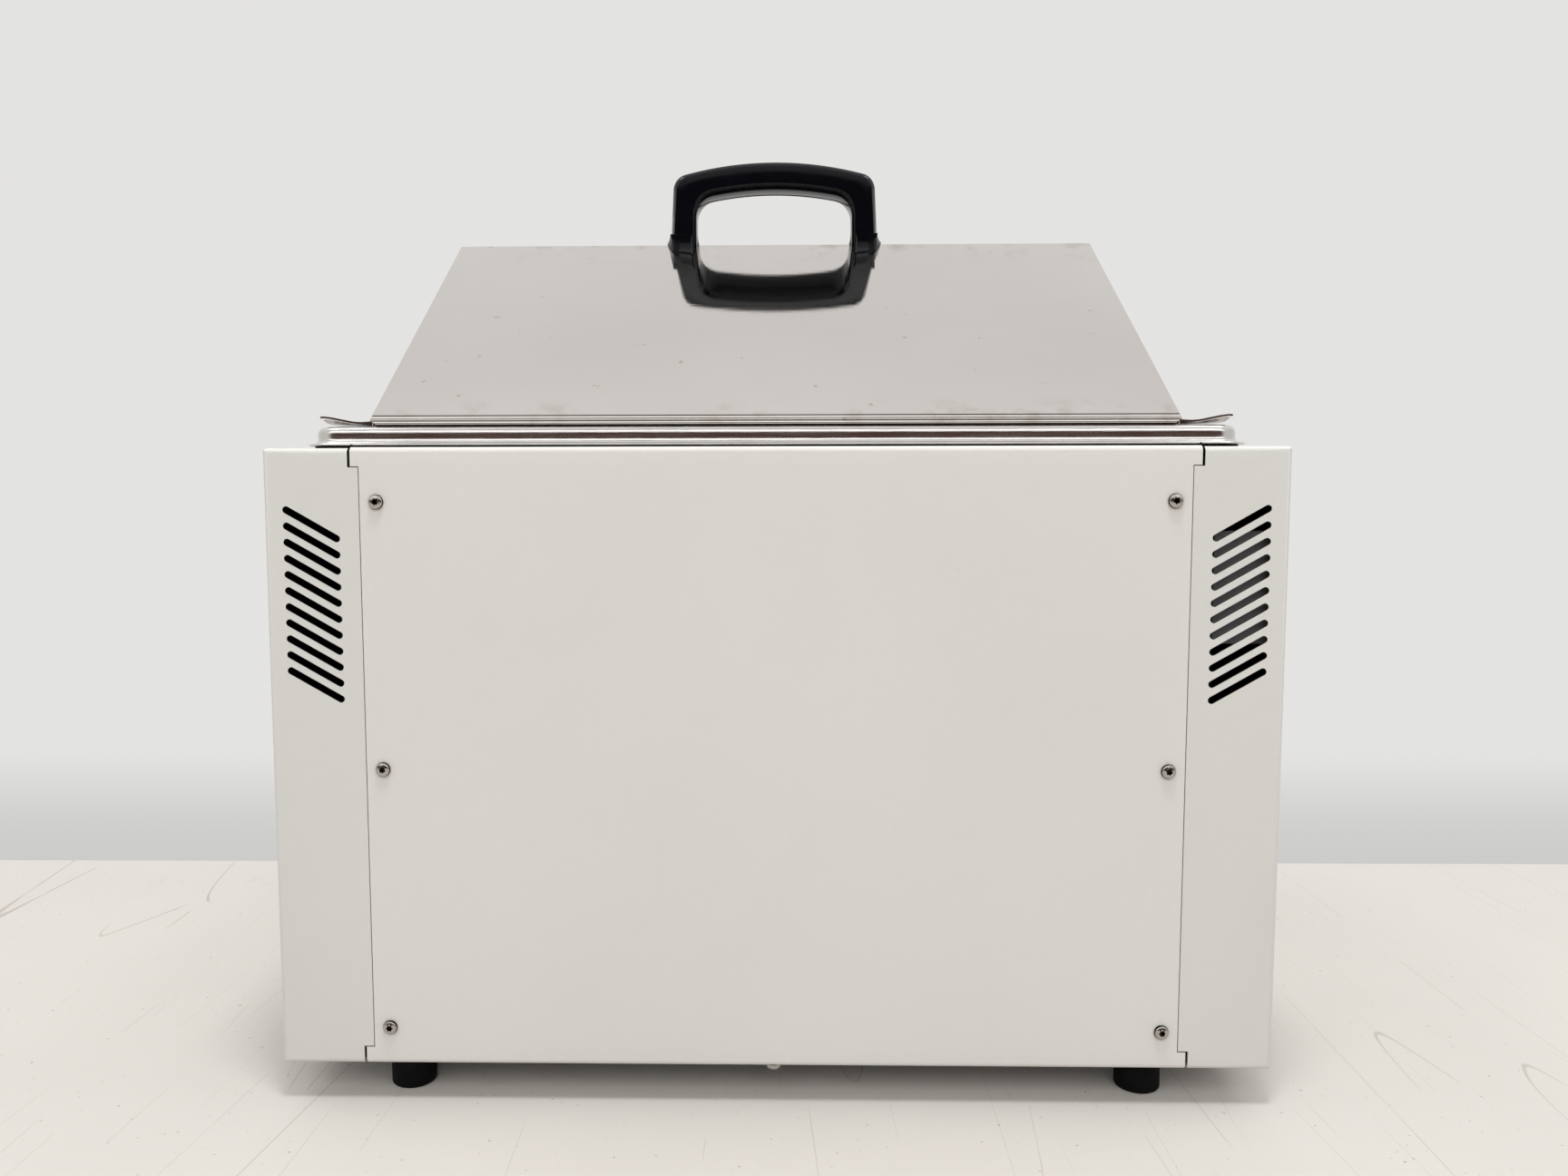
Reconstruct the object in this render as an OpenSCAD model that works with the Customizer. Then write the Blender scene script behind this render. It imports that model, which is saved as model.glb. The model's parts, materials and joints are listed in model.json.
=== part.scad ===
// Bench water bath: stainless tank, sheet-metal housing and a gable lid with a bow handle.
// Millimetres. X runs across the housing, Y from the plain rear to the control front,
// and Z up from the surface that the feet stand on.

/* [Housing] */
// Width of the housing over both side covers
body_w = 542; // [520:1:580]
// Depth of the housing from the rear face to the front face
body_d = 410; // [400:1:440]
// Height of the housing above its underside
body_h = 338; // [320:1:360]
// Height of the tank's floor above the housing's underside
bay_h = 149.3; // [140:0.1:155]
// Thickness of the housing sheet
sheet = 1.5; // [1.2:0.1:1.8]
// Outside radius of the folds
bend_r = 3; // [2.5:0.5:4]
// Depth of the flanges folded inwards on the rear and front panels
panel_flange = 12; // [10:1:12]
// Width of a side cover's face, seen from the rear
cover_w = 51.1; // [46:0.1:53]
// Width of the flange folded inwards under a side cover
cover_flange = 12; // [10:1:14]
// Gap between a panel and a side cover
seam_gap = 0.5; // [0.3:0.1:1]
// Extra width of the panel corners that reach into the covers
tab_w = 4.6; // [3:0.1:6]
// Gap beside those corners
tab_gap = 1.4; // [1:0.1:2]
// Height of the upper panel corners
tab_top = 10.2; // [8:0.1:12]
// Height of the lower panel corners
tab_bottom = 9.8; // [8:0.1:12]
// How far the cover tops lie below the panel tops
cover_drop = 0.5; // [0.3:0.1:1.5]
// Distance of a side cover's lower screws from the rear or front face
cover_screw_end = 110; // [60:1:150]

/* [Vents] */
// Slots in each side cover
vent_count = 11; // [8:1:12]
// Height from one slot to the next
vent_pitch = 8.62; // [7:0.01:9.5]
// Width of a slot
vent_w = 3.9; // [3:0.1:4.2]
// Length of a slot between the centres of its round ends
vent_len = 30.6; // [24:0.1:32]
// Slope of a slot
vent_tilt = 30; // [0:1:35]
// Distance of the slots' outer ends from the side of the housing
vent_side = 12.2; // [10:0.1:14]
// Distance of the first slot's outer end below the housing's top
vent_top = 33.1; // [30:0.1:40]

/* [Panel screws] */
// Diameter of the panel screws' thread
screw_d = 4; // [3:0.5:5]
// Diameter of a panel screw's head
screw_head_d = 8; // [7:0.1:9]
// Height of a panel screw's head
screw_head_h = 2.4; // [2:0.1:3]
// Length of a panel screw under its head
screw_len = 8; // [6:1:10]
// Distance of the screws from the panel's side edge
screw_side = 8.9; // [8:0.1:11]
// Distance of the upper screws below the housing's top
screw_top = 29; // [25:1:40]
// Height of the lower screws above the housing's underside
screw_low = 21.2; // [18:0.1:30]
// Diameter of the thread of the large screws in the base, the feet and the lid
bolt_d = 5; // [4:0.5:5]
// Diameter of a large screw's head
bolt_head_d = 9.5; // [8.5:0.1:10]
// Height of a large screw's head
bolt_head_h = 3.2; // [2.4:0.1:4]

/* [Feet] */
// Diameter of a foot
foot_d = 25; // [22:1:26]
// Height of a foot below the housing
foot_h = 21; // [18:1:30]
// Distance of a foot's centre from the side of the housing
foot_side = 65.3; // [55:0.1:90]
// Distance of a foot's centre from the rear or front face
foot_end = 25; // [25:1:60]

/* [Tank] */
// Thickness of the tank's steel
tank_wall = 1; // [0.8:0.1:1.2]
// Radius of the tank's upright corners
tank_r = 25; // [18:1:40]
// Distance of the rim's side from the side of the housing
rim_side = 22; // [19:0.5:24]
// Distance of the rim's end from the rear or front face
rim_end = 9; // [9:0.5:12]
// Width of the rim from its outer face to the tank's opening
rim_flat = 22; // [20:0.5:24]
// Height of the rim above the housing
rim_h = 11.3; // [10:0.1:14]
// Width of the lip around the rim's foot
rim_lip = 5; // [4:0.1:5.5]
// Corner radius of the rim, seen from above
rim_r = 16; // [12:1:20]
// Thickness of the seal under the lip
seal_t = 1; // [0.6:0.1:1.4]
// Thickness of the insulation around the tank
insulation_t = 14; // [8:1:14]

/* [Lid] */
// Height of the ridge above the eaves
lid_rise = 129; // [100:1:150]
// Thickness of the lid's steel
lid_t = 1; // [0.8:0.1:1.2]
// Height of the folded hem along the eaves
hem_h = 5.4; // [4.6:0.1:7]
// Distance of the lid's ends inside the tank's opening
lid_inset = 10.6; // [6:0.1:14]
// Distance of the eaves inside the rim's outer face
eave_inset = 4; // [3:0.5:6]
// How far the hem's ends stick out beyond the lid's ends
hem_over = 1.2; // [0.5:0.1:2.5]
// Distance of the lid's side flanges inside the rim's outer face
wing_inset = 4.7; // [4:0.1:8]
// Height by which a side flange's corners are turned up
wing_up = 4; // [2:0.5:5]
// Length of the upturned corners along the flange
wing_corner = 8; // [5:1:20]
// Gap between the closed lid and the rim
lid_gap = 0.3; // [0.2:0.1:0.5]

/* [Handle] */
// Distance between the handle's fixing screws
handle_pitch = 123; // [110:1:140]
// Width of a handle leg
leg_w = 17.4; // [15:0.1:20]
// Depth of the handle from front to back
handle_depth = 22; // [18:1:26]
// Height of the bow's crown above the ridge
handle_h = 52.8; // [48:0.1:60]
// Radius of the bow's crown
crown_r = 238; // [180:1:400]
// Radius of the bow's shoulders
shoulder_r = 11; // [6:1:14]
// How much narrower the bow is at its shoulders than at its feet, on each side
shoulder_in = 1.6; // [0:0.1:2]
// Height of the crown's underside above the ridge
grip_h = 34.7; // [32:0.1:36]
// Radius of the corners under the crown
grip_r = 14; // [8:1:15]
// Distance of a collar's outer side from its fixing screw
collar_out = 11.7; // [10:0.1:13]
// Distance of a collar's inner side from its fixing screw
collar_in = 9.6; // [9:0.1:11]
// Depth of a collar from front to back
collar_depth = 26; // [24:1:30]
// How far a collar's front edge lies towards the middle of the handle
collar_skew = 5.3; // [0:0.1:8]
// Height of a collar above the ridge
collar_h = 4.9; // [4:0.1:8]
// Depth of a collar below the ridge
collar_drop = 8.6; // [6:0.1:10]

/* [Bath fittings] */
// Diameter of the heating element
heater_d = 8; // [6.4:0.1:10]
// Distance of the heating element's turns from the tank's side walls
heater_side = 28; // [20:1:60]
// Height of the heating element's centre above the tank's floor
heater_lift = 14; // [12:0.5:16]
// Height of the perforated tray's top above the tank's floor
tray_h = 32; // [28:1:40]
// Thickness of the tray's steel
tray_t = 1.5; // [1:0.1:2]
// Gap between the tray and the tank's walls
tray_gap = 6; // [4:1:10]
// Diameter of the tray's holes
tray_hole_d = 10; // [6:1:14]
// Holes across the tray
tray_cols = 13; // [9:1:15]
// Holes along the tray
tray_rows = 9; // [7:1:11]
// Diameter of the temperature probes
probe_d = 6; // [4:0.5:6.5]
// Length of the temperature probes inside the tank
probe_len = 60; // [40:1:80]

/* [Controls] */
// Height of the controls above the housing's underside
control_z = 72; // [66:1:80]
// Width of the control label
label_w = 168; // [150:1:170]
// Height of the control label
label_h = 60; // [50:1:64]
// Thickness of the control label
label_t = 0.5; // [0.3:0.1:0.8]
// Width of the display's window
window_w = 66; // [50:1:68]
// Height of the display's window
window_h = 26; // [20:1:32]
// Diameter of a key
key_d = 12; // [10:1:14]
// Distance from key to key
key_pitch = 22; // [18:1:22]
// Travel of a key
key_travel = 1.5; // [1:0.1:2]
// Diameter of the temperature limiter's knob
knob_d = 28; // [24:1:34]
// Height of the temperature limiter's knob
knob_h = 15; // [12:1:20]
// Width of the mains switch
switch_w = 22; // [20:1:26]
// Height of the mains switch
switch_h = 30; // [28:1:36]

/* [Mains inlet] */
// Distance of the mains inlet from the front face
inlet_front = 80; // [60:1:120]
// Height of the mains inlet's centre above the housing's underside
inlet_z = 62; // [55:1:75]
// Width of the mains inlet's face
inlet_w = 28; // [27:0.5:32]
// Height of the mains inlet's face
inlet_h = 48; // [47:1:56]
// Depth of the inlet's socket
socket_depth = 17; // [15:1:19]

/* [Drain] */
// Distance of the drain cock from the side of the housing
drain_side = 101; // [96:1:110]
// Height of the drain cock above the housing's underside
drain_z = 52; // [45:1:60]
// Diameter of the drain cock's body
cock_d = 27; // [25:1:30]
// Length of the drain cock's body in front of the panel
cock_len = 27; // [26:1:34]
// Diameter of the hose nozzle
nozzle_d = 14; // [12:0.5:16]
// Length of the hose nozzle
nozzle_len = 18; // [14:1:30]
// Diameter of the water way
bore_d = 10; // [8:0.5:10]
// Length of the cock's lever from its pivot
lever_len = 42; // [35:1:55]

/* [Fits] */
// Radial play of a fixed screw, pin or tube in its hole
fixed_play = 0.05; // [0.03:0.01:0.1]
// Radial play of a turning or sliding piece
running_play = 0.08; // [0.03:0.01:0.1]
// Gap around loose caps, keys and drawers
loose_gap = 0.3; // [0.2:0.05:0.5]

/* [Hidden] */
$fn = 48;

// Panels, covers and frame
cover_x = body_w/2 - cover_w;
panel_x = cover_x - seam_gap;
tab_x = panel_x + tab_w;
cover_h = body_h - cover_drop;
base_z = sheet;
base_top = base_z + sheet;
base_edge = 12;
bolt_r = bolt_d/2;
bolt_hole_r = bolt_r + fixed_play;
screw_x = panel_x - screw_side;
post_lap = 12;
post_depth = 12;
post_in = screw_x - post_lap;
post_out = cover_x + post_lap;
ring_t = 2;
ring_top = cover_h - sheet;
ring_z = ring_top - ring_t;
screw_heights = [screw_low, (screw_low + body_h - screw_top)/2, body_h - screw_top];
flange_screw_y = panel_flange/2;
cover_screw_x = body_w/2 - 2*cover_flange/3;
cover_screw_y = [cover_screw_end, body_d - cover_screw_end];
air_hole_r = 4;
air_hole_pitch = 14;
air_hole_x = -90;
foot_hollow_r = 7;
foot_hollow_h = 14;
foot_edge_r = 1.5;
foot_nut_h = 4;
foot_nut_r = 4.6;
thread_over = 8;

// Tank and rim
rim_x = body_w/2 - rim_side;
rim_y0 = rim_end;
rim_y1 = body_d - rim_end;
tank_x = rim_x - rim_flat;
tank_y0 = rim_y0 + rim_flat;
tank_y1 = rim_y1 - rim_flat;
rim_top = body_h + rim_h;
tank_floor = bay_h;
tank_under = tank_floor - tank_wall;
seal_w = 4;
seal_inset = 3.4;
lip_z = body_h + seal_t;
rim_edge_r = 3;
rim_foot_r = 2;
rim_band = 8;

// Lid
lid_x = tank_x - lid_inset;
eave_y0 = rim_y0 + eave_inset;
eave_y1 = rim_y1 - eave_inset;
lid_z = rim_top + lid_gap;
eave_z = lid_z + hem_h;
ridge_y = (eave_y0 + eave_y1)/2;
ridge_z = eave_z + lid_rise;
lid_run = ridge_y - eave_y0;
lid_slope = lid_rise/lid_run;
wing_x = rim_x - wing_inset;
hem_r = hem_h*0.275;
hem_proud = 0.4;
hem_gap = 0.05;
wing_bend = 10;
wing_end = 1;
saddle_w = 20;
saddle_h = 20;

// Bath fittings
probe_r = probe_d/2;
heater_clear = 2;
heater_r = heater_d/2;
heater_wall = probe_len + probe_r + heater_clear + heater_r;
heater_gap = (tank_y1 - tank_y0 - 2*heater_wall)/3;
heater_x1 = tank_x - heater_side - heater_gap/2 - heater_r;
heater_x0 = -heater_x1;
heater_y = [for (i = [0:3]) tank_y0 + heater_wall + i*heater_gap];
heater_ends = [heater_y[0], heater_y[3]];
heater_z = tank_floor + heater_lift;
heater_tail = 16;
gland_flange = 2.5;
heater_turn = heater_lift - gland_flange - 1;
gland_x = heater_x0 - heater_turn;
gland_r = heater_r + 3;
nut_h = 6;
tray_x = tank_x - tray_gap;
tray_y0 = tank_y0 + tray_gap;
tray_y1 = tank_y1 - tray_gap;
tray_z = tank_floor + tray_h;
tray_edge = 24;
probe_z = heater_z + 2;
probe_xs = [-110, -70];
probe_tail = 4;
line_r = 1;
line_z = control_z + 12;

// Drain
drain_x = body_w/2 - drain_side;
front_y = body_d;
ball_y = front_y + cock_len/2;
ball_r = cock_d/2 - 4.5;
stem_r = 3;
stem_boss_r = 6;
stem_boss_h = 3;
tail_r = bore_d/2 + 3;
tail_len = 38;
tail_y = front_y - tail_len;
outlet_x = drain_x;
outlet_y = tank_y1 - 34;
hose_wall = 3;
hose_bend = 24;
hose_grip = 14;
outlet_end = drain_z + hose_bend + hose_grip;
cock_neck_r = tail_r + 1.5;
cock_neck_len = 14;
cock_nut_h = 5;
lever_t = 5;
lever_w = 10;
lever_boss_r = 7.5;
lever_boss_h = 9;
lever_z = drain_z + cock_d/2 + stem_boss_h + loose_gap;

// Front controls, seen from the front with the drain cock on the left
inner_y = body_d - sheet;
label_x = 10;
window_x = label_x + 34;
key_first = label_w*11/84;
key_xs = [for (i = [0:2]) label_x - key_first - i*min(key_pitch, key_first)];
board_gap = 22;
board_t = 1.6;
board_y = inner_y - board_gap;
board_w = label_w - 8;
board_h = label_h - 6;
knob_x = label_x - label_w/2 - knob_d/2 - 12;
limiter_w = 36;
limiter_h = 34;
limiter_depth = 23;
limiter_gap = 3;
limiter_neck_r = 11;
shaft_r = 3;
shaft_in = 14;
shaft_short = 4;
pointer_w = 2.4;
pointer_h = 0.6;
rocker_x = knob_x - knob_d/2 - switch_w/2 - 8;
switch_frame = 1.5;
switch_half_w = switch_w/2 - switch_frame - fixed_play;
switch_half_h = switch_h/2 - switch_frame - fixed_play;
switch_depth = 20;
switch_well = 8;
rocker_pin_r = 1.5;
rocker_pin_y = body_d - 1;
rocker_pin_in = 0.5;
key_out = 2.4;
key_rim = 1.2;
key_lip = 1;
spacer_in = 5;
spacer_r = 3;
dome_w = 12;
dome_gap = 8;

// Electrical pieces in the bay
transformer_x = 40;
transformer_y = body_d/2 + 20;
transformer_foot = [35, 24, 4];
transformer_core = [28, 22, 52];
transformer_coil = [18, 32, 44];
coil_z = 12;
terminal_side = 80;
terminal_x = body_w/2 - terminal_side;
terminal_base = [10, 40, 6];
terminal_body = [7, 38, 20];
terminal_pitch = 10.5;
terminal_hole_r = 2.5;
terminal_hole_h = 8;

// Finned plate and the power part behind the right-hand vents
sink_y = 6;
sink_t = 3;
sink_low = 105;
sink_high = 45;
sink_heights = [body_h - sink_low, body_h - sink_high];
fin_t = 1.5;
fin_pitch = 4.5;
fin_depth = 31;
triac_w = 8.5;
triac_t = 4;
triac_low = 85;
triac_high = 66;
triac_heights = [body_h - triac_low, body_h - triac_high];

// Mains inlet
inlet_y = body_d - inlet_front;
side_x = body_w/2;
inlet_flange = 3;
inlet_flange_t = 2;
inlet_depth = 34;
drawer_w = inlet_w - 8;
drawer_h = 14;
drawer_z = inlet_z + inlet_h/2 - drawer_h/2 - 3;
drawer_depth = 26;
socket_w = inlet_w - 5;
socket_h = inlet_h - drawer_h - 11;
socket_z = inlet_z - inlet_h/2 + socket_h/2 + 3;
pin_side = 6;
pin_drop = 3;
pin_w = 2;
pin_h = 4;
pin_in = 4;
fuse_r = 2.6;
fuse_len = 20;
fuse_side = 4;
drawer_floor = 3;

// Hexagon nuts
gland_nut_r = gland_r + 4.5;
probe_gland_r = probe_r + 2;
probe_nut_r = probe_r + 5;
outlet_nut_r = tail_r + 5;
cock_nut_r = cock_neck_r + 4.5;

// Middle of the whole object along Y, where its origin lies
nozzle_tip = front_y + cock_len + nozzle_len;
mid_y = (nozzle_tip - screw_head_h)/2;

// Moves housing coordinates to the object's own origin
module place() translate([0, -mid_y, foot_h]) children();

// Extrusions along the three axes. The outlines are drawn in (y, z), (x, z) and (x, y).
module along_x(x0, x1) translate([x0, 0, 0]) rotate([90, 0, 90]) linear_extrude(x1 - x0) children();
module along_y(y0, y1) translate([0, y1, 0]) rotate([90, 0, 0]) linear_extrude(y1 - y0) children();
module along_z(z0, z1) translate([0, 0, z0]) linear_extrude(z1 - z0) children();

// Upright, sideways and lengthways round bars between two levels
module bar_z(x, y, z0, z1, r) translate([x, y, z0]) cylinder(h = z1 - z0, r = r);
module bar_x(x0, x1, y, z, r) translate([x0, y, z]) rotate([0, 90, 0]) cylinder(h = x1 - x0, r = r);
module bar_y(x, y0, y1, z, r) translate([x, y1, z]) rotate([90, 0, 0]) cylinder(h = y1 - y0, r = r);

// Box between two corners
module box(a, b) translate(a) cube(b - a);

// Copies on the left and on the right
module both_sides() {
    children();
    mirror([1, 0, 0]) children();
}

// Copies at the rear and at the front
module both_ends() {
    children();
    translate([0, body_d, 0]) mirror([0, 1, 0]) children();
}

// Rectangle between two corners with round corners
module round_rect(a, b, r) {
    translate([a[0] + r, a[1]]) square([b[0] - a[0] - 2*r, b[1] - a[1]]);
    translate([a[0], a[1] + r]) square([b[0] - a[0], b[1] - a[1] - 2*r]);
    for (x = [a[0] + r, b[0] - r], y = [a[1] + r, b[1] - r]) translate([x, y]) circle(r);
}

// Points of an arc
function arc(c, r, a0, a1, n = 6) =
    [for (i = [0:n]) c + r*[cos(a0 + (a1 - a0)*i/n), sin(a0 + (a1 - a0)*i/n)]];

// Pan head screw along +Z, head on top, its underside at z = 0
module pan_screw(d, head_d, head_h, len) {
    difference() {
        union() {
            rotate_extrude() polygon(concat(
                [[0, 0], [head_d/2, 0]],
                arc([head_d/2 - head_h*0.7, head_h*0.3], head_h*0.7, 0, 80),
                [[0, head_h]]));
            translate([0, 0, -len]) cylinder(h = len + 0.1, r = d/2);
        }
        translate([0, 0, head_h*0.4]) cylinder(h = head_h, r = d*0.4, $fn = 6);
    }
}

// Sheet panel standing at y = 0 with folded flanges above and below
module panel_profile(h) {
    difference() {
        panel_block(panel_flange, h, bend_r);
        translate([sheet, sheet]) panel_block(panel_flange, h - 2*sheet, bend_r - sheet);
    }
}
module panel_block(depth, h, r) {
    translate([r, 0]) square([depth - r, h]);
    translate([0, r]) square([2*r, h - 2*r]);
    for (z = [r, h - r]) translate([r, z]) circle(r);
}
module panel_sheet() {
    difference() {
        intersection() {
            along_x(-tab_x, tab_x) panel_profile(body_h);
            along_y(-1, panel_flange + 1) union() {
                translate([-panel_x, 0]) square([2*panel_x, body_h]);
                translate([-tab_x, 0]) square([2*tab_x, tab_bottom]);
                translate([-tab_x, body_h - tab_top]) square([2*tab_x, tab_top]);
            }
        }
        panel_screw_places() cylinder(h = 4*sheet, r = screw_d/2 + loose_gap, center = true);
        bar_z(0, flange_screw_y, -1, sheet + 1, bolt_r + loose_gap);
    }
}

// The six screw places of a panel, each looking towards -Y
module panel_screw_places()
    for (x = [-screw_x, screw_x], z = screw_heights) translate([x, 0, z]) rotate([90, 0, 0]) children();

module rear_panel() color([0.84, 0.83, 0.81]) place() panel_sheet();

module front_panel() color([0.84, 0.83, 0.81]) place() difference() {
    translate([0, body_d, 0]) mirror([0, 1, 0]) panel_sheet();
    box([window_x - window_w/2, inner_y - 1, control_z - window_h/2],
        [window_x + window_w/2, body_d + 1, control_z + window_h/2]);
    for (x = key_xs) bar_y(x, inner_y - 1, body_d + 1, control_z, key_d/2 + loose_gap);
    bar_y(knob_x, inner_y - 1, body_d + 1, control_z, shaft_r + 1 + loose_gap);
    box([rocker_x - switch_w/2 + switch_frame, inner_y - 1, control_z - switch_h/2 + switch_frame],
        [rocker_x + switch_w/2 - switch_frame, body_d + 1, control_z + switch_h/2 - switch_frame]);
    bar_y(drain_x, inner_y - 1, body_d + 1, drain_z, cock_neck_r + fixed_play);
}

module rear_screws() color([0.62, 0.6, 0.57]) place()
    panel_screw_places() pan_screw(screw_d, screw_head_d, screw_head_h, screw_len);

module front_screws() color([0.62, 0.6, 0.57]) place() translate([0, body_d, 0]) mirror([0, 1, 0])
    panel_screw_places() pan_screw(screw_d, screw_head_d, screw_head_h, screw_len);

// Block with the folds of a right-hand side cover, grown or shrunk by g
module cover_block(x0, g) {
    r = bend_r - g;
    intersection() {
        along_x(x0, side_x - g) round_rect([g, g], [body_d - g, cover_h - g], r);
        along_y(0, body_d) round_rect([x0 - 20, g], [side_x - g, cover_h - g], r);
        along_z(0, cover_h) round_rect([x0 - 20, g], [side_x - g, body_d - g], r);
    }
}

// Places of the vent slots on the rear of the right-hand cover
module vent_slots()
    for (i = [0:vent_count - 1])
        translate([side_x - vent_side, 0, body_h - vent_top - i*vent_pitch]) rotate([0, -vent_tilt, 0]) {
            box([-vent_len, -1, -vent_w/2], [0, sheet + 1, vent_w/2]);
            for (x = [-vent_len, 0]) bar_y(x, -1, sheet + 1, 0, vent_w/2);
        }

module cover_sheet() {
    open_x = rim_x - rim_flat + 8;
    difference() {
        cover_block(cover_x, 0);
        translate([-30, 0, 0]) cover_block(cover_x + 20, sheet);
        cover_block(cover_x - 10, sheet);
        box([cover_x - 1, bend_r, -1], [side_x - cover_flange, body_d - bend_r, sheet + 0.01]);
        box([cover_x - 1, panel_flange + 2, ring_top - 0.01],
            [open_x, body_d - panel_flange - 2, cover_h + 1]);
        both_ends() {
            box([cover_x - 1, -1, body_h - tab_top - seam_gap],
                [tab_x + tab_gap, panel_flange + 2, body_h + 1]);
            box([cover_x - 1, -1, -1], [tab_x + tab_gap, panel_flange + 2, tab_bottom + seam_gap]);
        }
        vent_slots();
        for (y = cover_screw_y) bar_z(cover_screw_x, y, -1, sheet + 1, screw_d/2 + loose_gap);
    }
}

module left_cover() color([0.81, 0.8, 0.78]) place() mirror([1, 0, 0]) cover_sheet();

module right_cover() color([0.81, 0.8, 0.78]) place() difference() {
    cover_sheet();
    box([side_x - 2*sheet, inlet_y - inlet_w/2 - fixed_play, inlet_z - inlet_h/2 - fixed_play],
        [side_x + 1, inlet_y + inlet_w/2 + fixed_play, inlet_z + inlet_h/2 + fixed_play]);
}

// Where the feet stand
module foot_places()
    for (x = [-1, 1], y = [foot_end, body_d - foot_end])
        translate([x*(body_w/2 - foot_side), y, 0]) children();

module base_plate() color([0.6, 0.61, 0.62]) place() difference() {
    edge_x = side_x - bend_r;
    union() {
        box([-edge_x, bend_r, base_z], [edge_x, body_d - bend_r, base_top]);
        both_sides() box([edge_x - sheet, bend_r, base_z], [edge_x, body_d - bend_r, base_top + base_edge]);
    }
    foot_places() cylinder(h = 4*base_top, r = bolt_hole_r, center = true);
    for (y = [flange_screw_y, body_d - flange_screw_y]) bar_z(0, y, 0, 2*base_top, bolt_hole_r);
    for (x = [-cover_screw_x, cover_screw_x], y = cover_screw_y)
        bar_z(x, y, 0, 2*base_top, screw_d/2 + fixed_play);
    for (i = [-4:4], j = [-1:1])
        bar_z(air_hole_x + i*air_hole_pitch, body_d/2 + j*air_hole_pitch, 0, 2*base_top, air_hole_r);
}

// Rubber foot, hollow below for its screw's head
module feet() color([0.03, 0.03, 0.03]) place() foot_places()
    rotate_extrude() polygon(concat(
        [[bolt_hole_r, base_z], [bolt_hole_r, -foot_h + foot_hollow_h],
            [foot_hollow_r, -foot_h + foot_hollow_h], [foot_hollow_r, -foot_h]],
        arc([foot_d/2 - foot_edge_r, -foot_h + foot_edge_r], foot_edge_r, -90, 0, 4),
        [[foot_d/2, base_z]]));

module foot_screws() color([0.62, 0.6, 0.57]) place() foot_places() {
    translate([0, 0, -foot_h + foot_hollow_h]) mirror([0, 0, 1])
        pan_screw(bolt_d, bolt_head_d, bolt_head_h, foot_h - foot_hollow_h + base_top + thread_over);
    difference() {
        translate([0, 0, base_top]) cylinder(h = foot_nut_h, r = foot_nut_r, $fn = 6);
        translate([0, 0, base_top - 1]) cylinder(h = foot_nut_h + 2, r = bolt_hole_r);
    }
}

module base_screws() color([0.62, 0.6, 0.57]) place() {
    for (y = [flange_screw_y, body_d - flange_screw_y])
        translate([0, y, 0]) mirror([0, 0, 1])
            pan_screw(bolt_d, bolt_head_d, bolt_head_h, base_top + thread_over);
    for (x = [-cover_screw_x, cover_screw_x], y = cover_screw_y)
        translate([x, y, 0]) mirror([0, 0, 1]) pan_screw(screw_d, screw_head_d, screw_head_h, screw_len);
}

// Angle posts behind the panel seams
module frame_uprights() color([0.6, 0.61, 0.62]) place() both_sides() both_ends() difference() {
    union() {
        box([post_in, sheet, base_top], [post_out, 2*sheet, ring_z]);
        box([post_out - sheet, sheet, base_top], [post_out, sheet + post_depth, ring_z]);
    }
    for (z = screw_heights) bar_y(screw_x, 0, 3*sheet, z, screw_d/2 + fixed_play);
}

// Ring that carries the panels' upper flanges, the covers' tops and the tank
module top_frame() color([0.6, 0.61, 0.62]) place() difference() {
    union() {
        box([-rim_x, bend_r, ring_z], [rim_x, body_d - bend_r, ring_top]);
        both_ends() box([-tab_x, bend_r, ring_top], [tab_x, panel_flange, body_h - sheet]);
    }
    along_z(ring_z - 1, body_h) round_rect([-tank_x - tank_wall - 1, tank_y0 - tank_wall - 1],
        [tank_x + tank_wall + 1, tank_y1 + tank_wall + 1], tank_r + 2);
}

// Section of the rim's outer band: u = 0 is its outer face, v = 0 the housing's top
function rim_section() = let (t = tank_wall, h = rim_h, f = seal_t + tank_wall) concat(
    [[-rim_band, h]],
    arc([-rim_edge_r, h - rim_edge_r], rim_edge_r, 90, 0, 4),
    arc([rim_foot_r, f + rim_foot_r], rim_foot_r, 180, 270, 4),
    [[rim_lip, f], [rim_lip, f - t]],
    arc([rim_foot_r, f + rim_foot_r], rim_foot_r + t, 270, 180, 4),
    arc([-rim_edge_r, h - rim_edge_r], rim_edge_r - t, 0, 90, 4),
    [[-rim_band, h - t]]);

module rim_side_band(len) translate([0, -len/2, 0]) rotate([90, 0, 180]) mirror([1, 0, 0])
    linear_extrude(len) polygon(rim_section());

module rim_corner() rotate_extrude(angle = 90, $fn = 48) translate([rim_r, 0]) polygon(rim_section());

module rim_ring() translate([0, body_d/2, body_h]) {
    half_y = (rim_y1 - rim_y0)/2;
    for (a = [0, 180]) rotate([0, 0, a]) {
        translate([rim_x, 0, 0]) rim_side_band(2*(half_y - rim_r));
        translate([rim_x - rim_r, half_y - rim_r, 0]) rim_corner();
    }
    for (a = [90, 270]) rotate([0, 0, a]) {
        translate([half_y, 0, 0]) rim_side_band(2*(rim_x - rim_r));
        translate([half_y - rim_r, rim_x - rim_r, 0]) rim_corner();
    }
}

// Outline of the tank, grown by g
module tank_outline(g) round_rect([-tank_x - g, tank_y0 - g], [tank_x + g, tank_y1 + g], tank_r + g);

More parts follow.
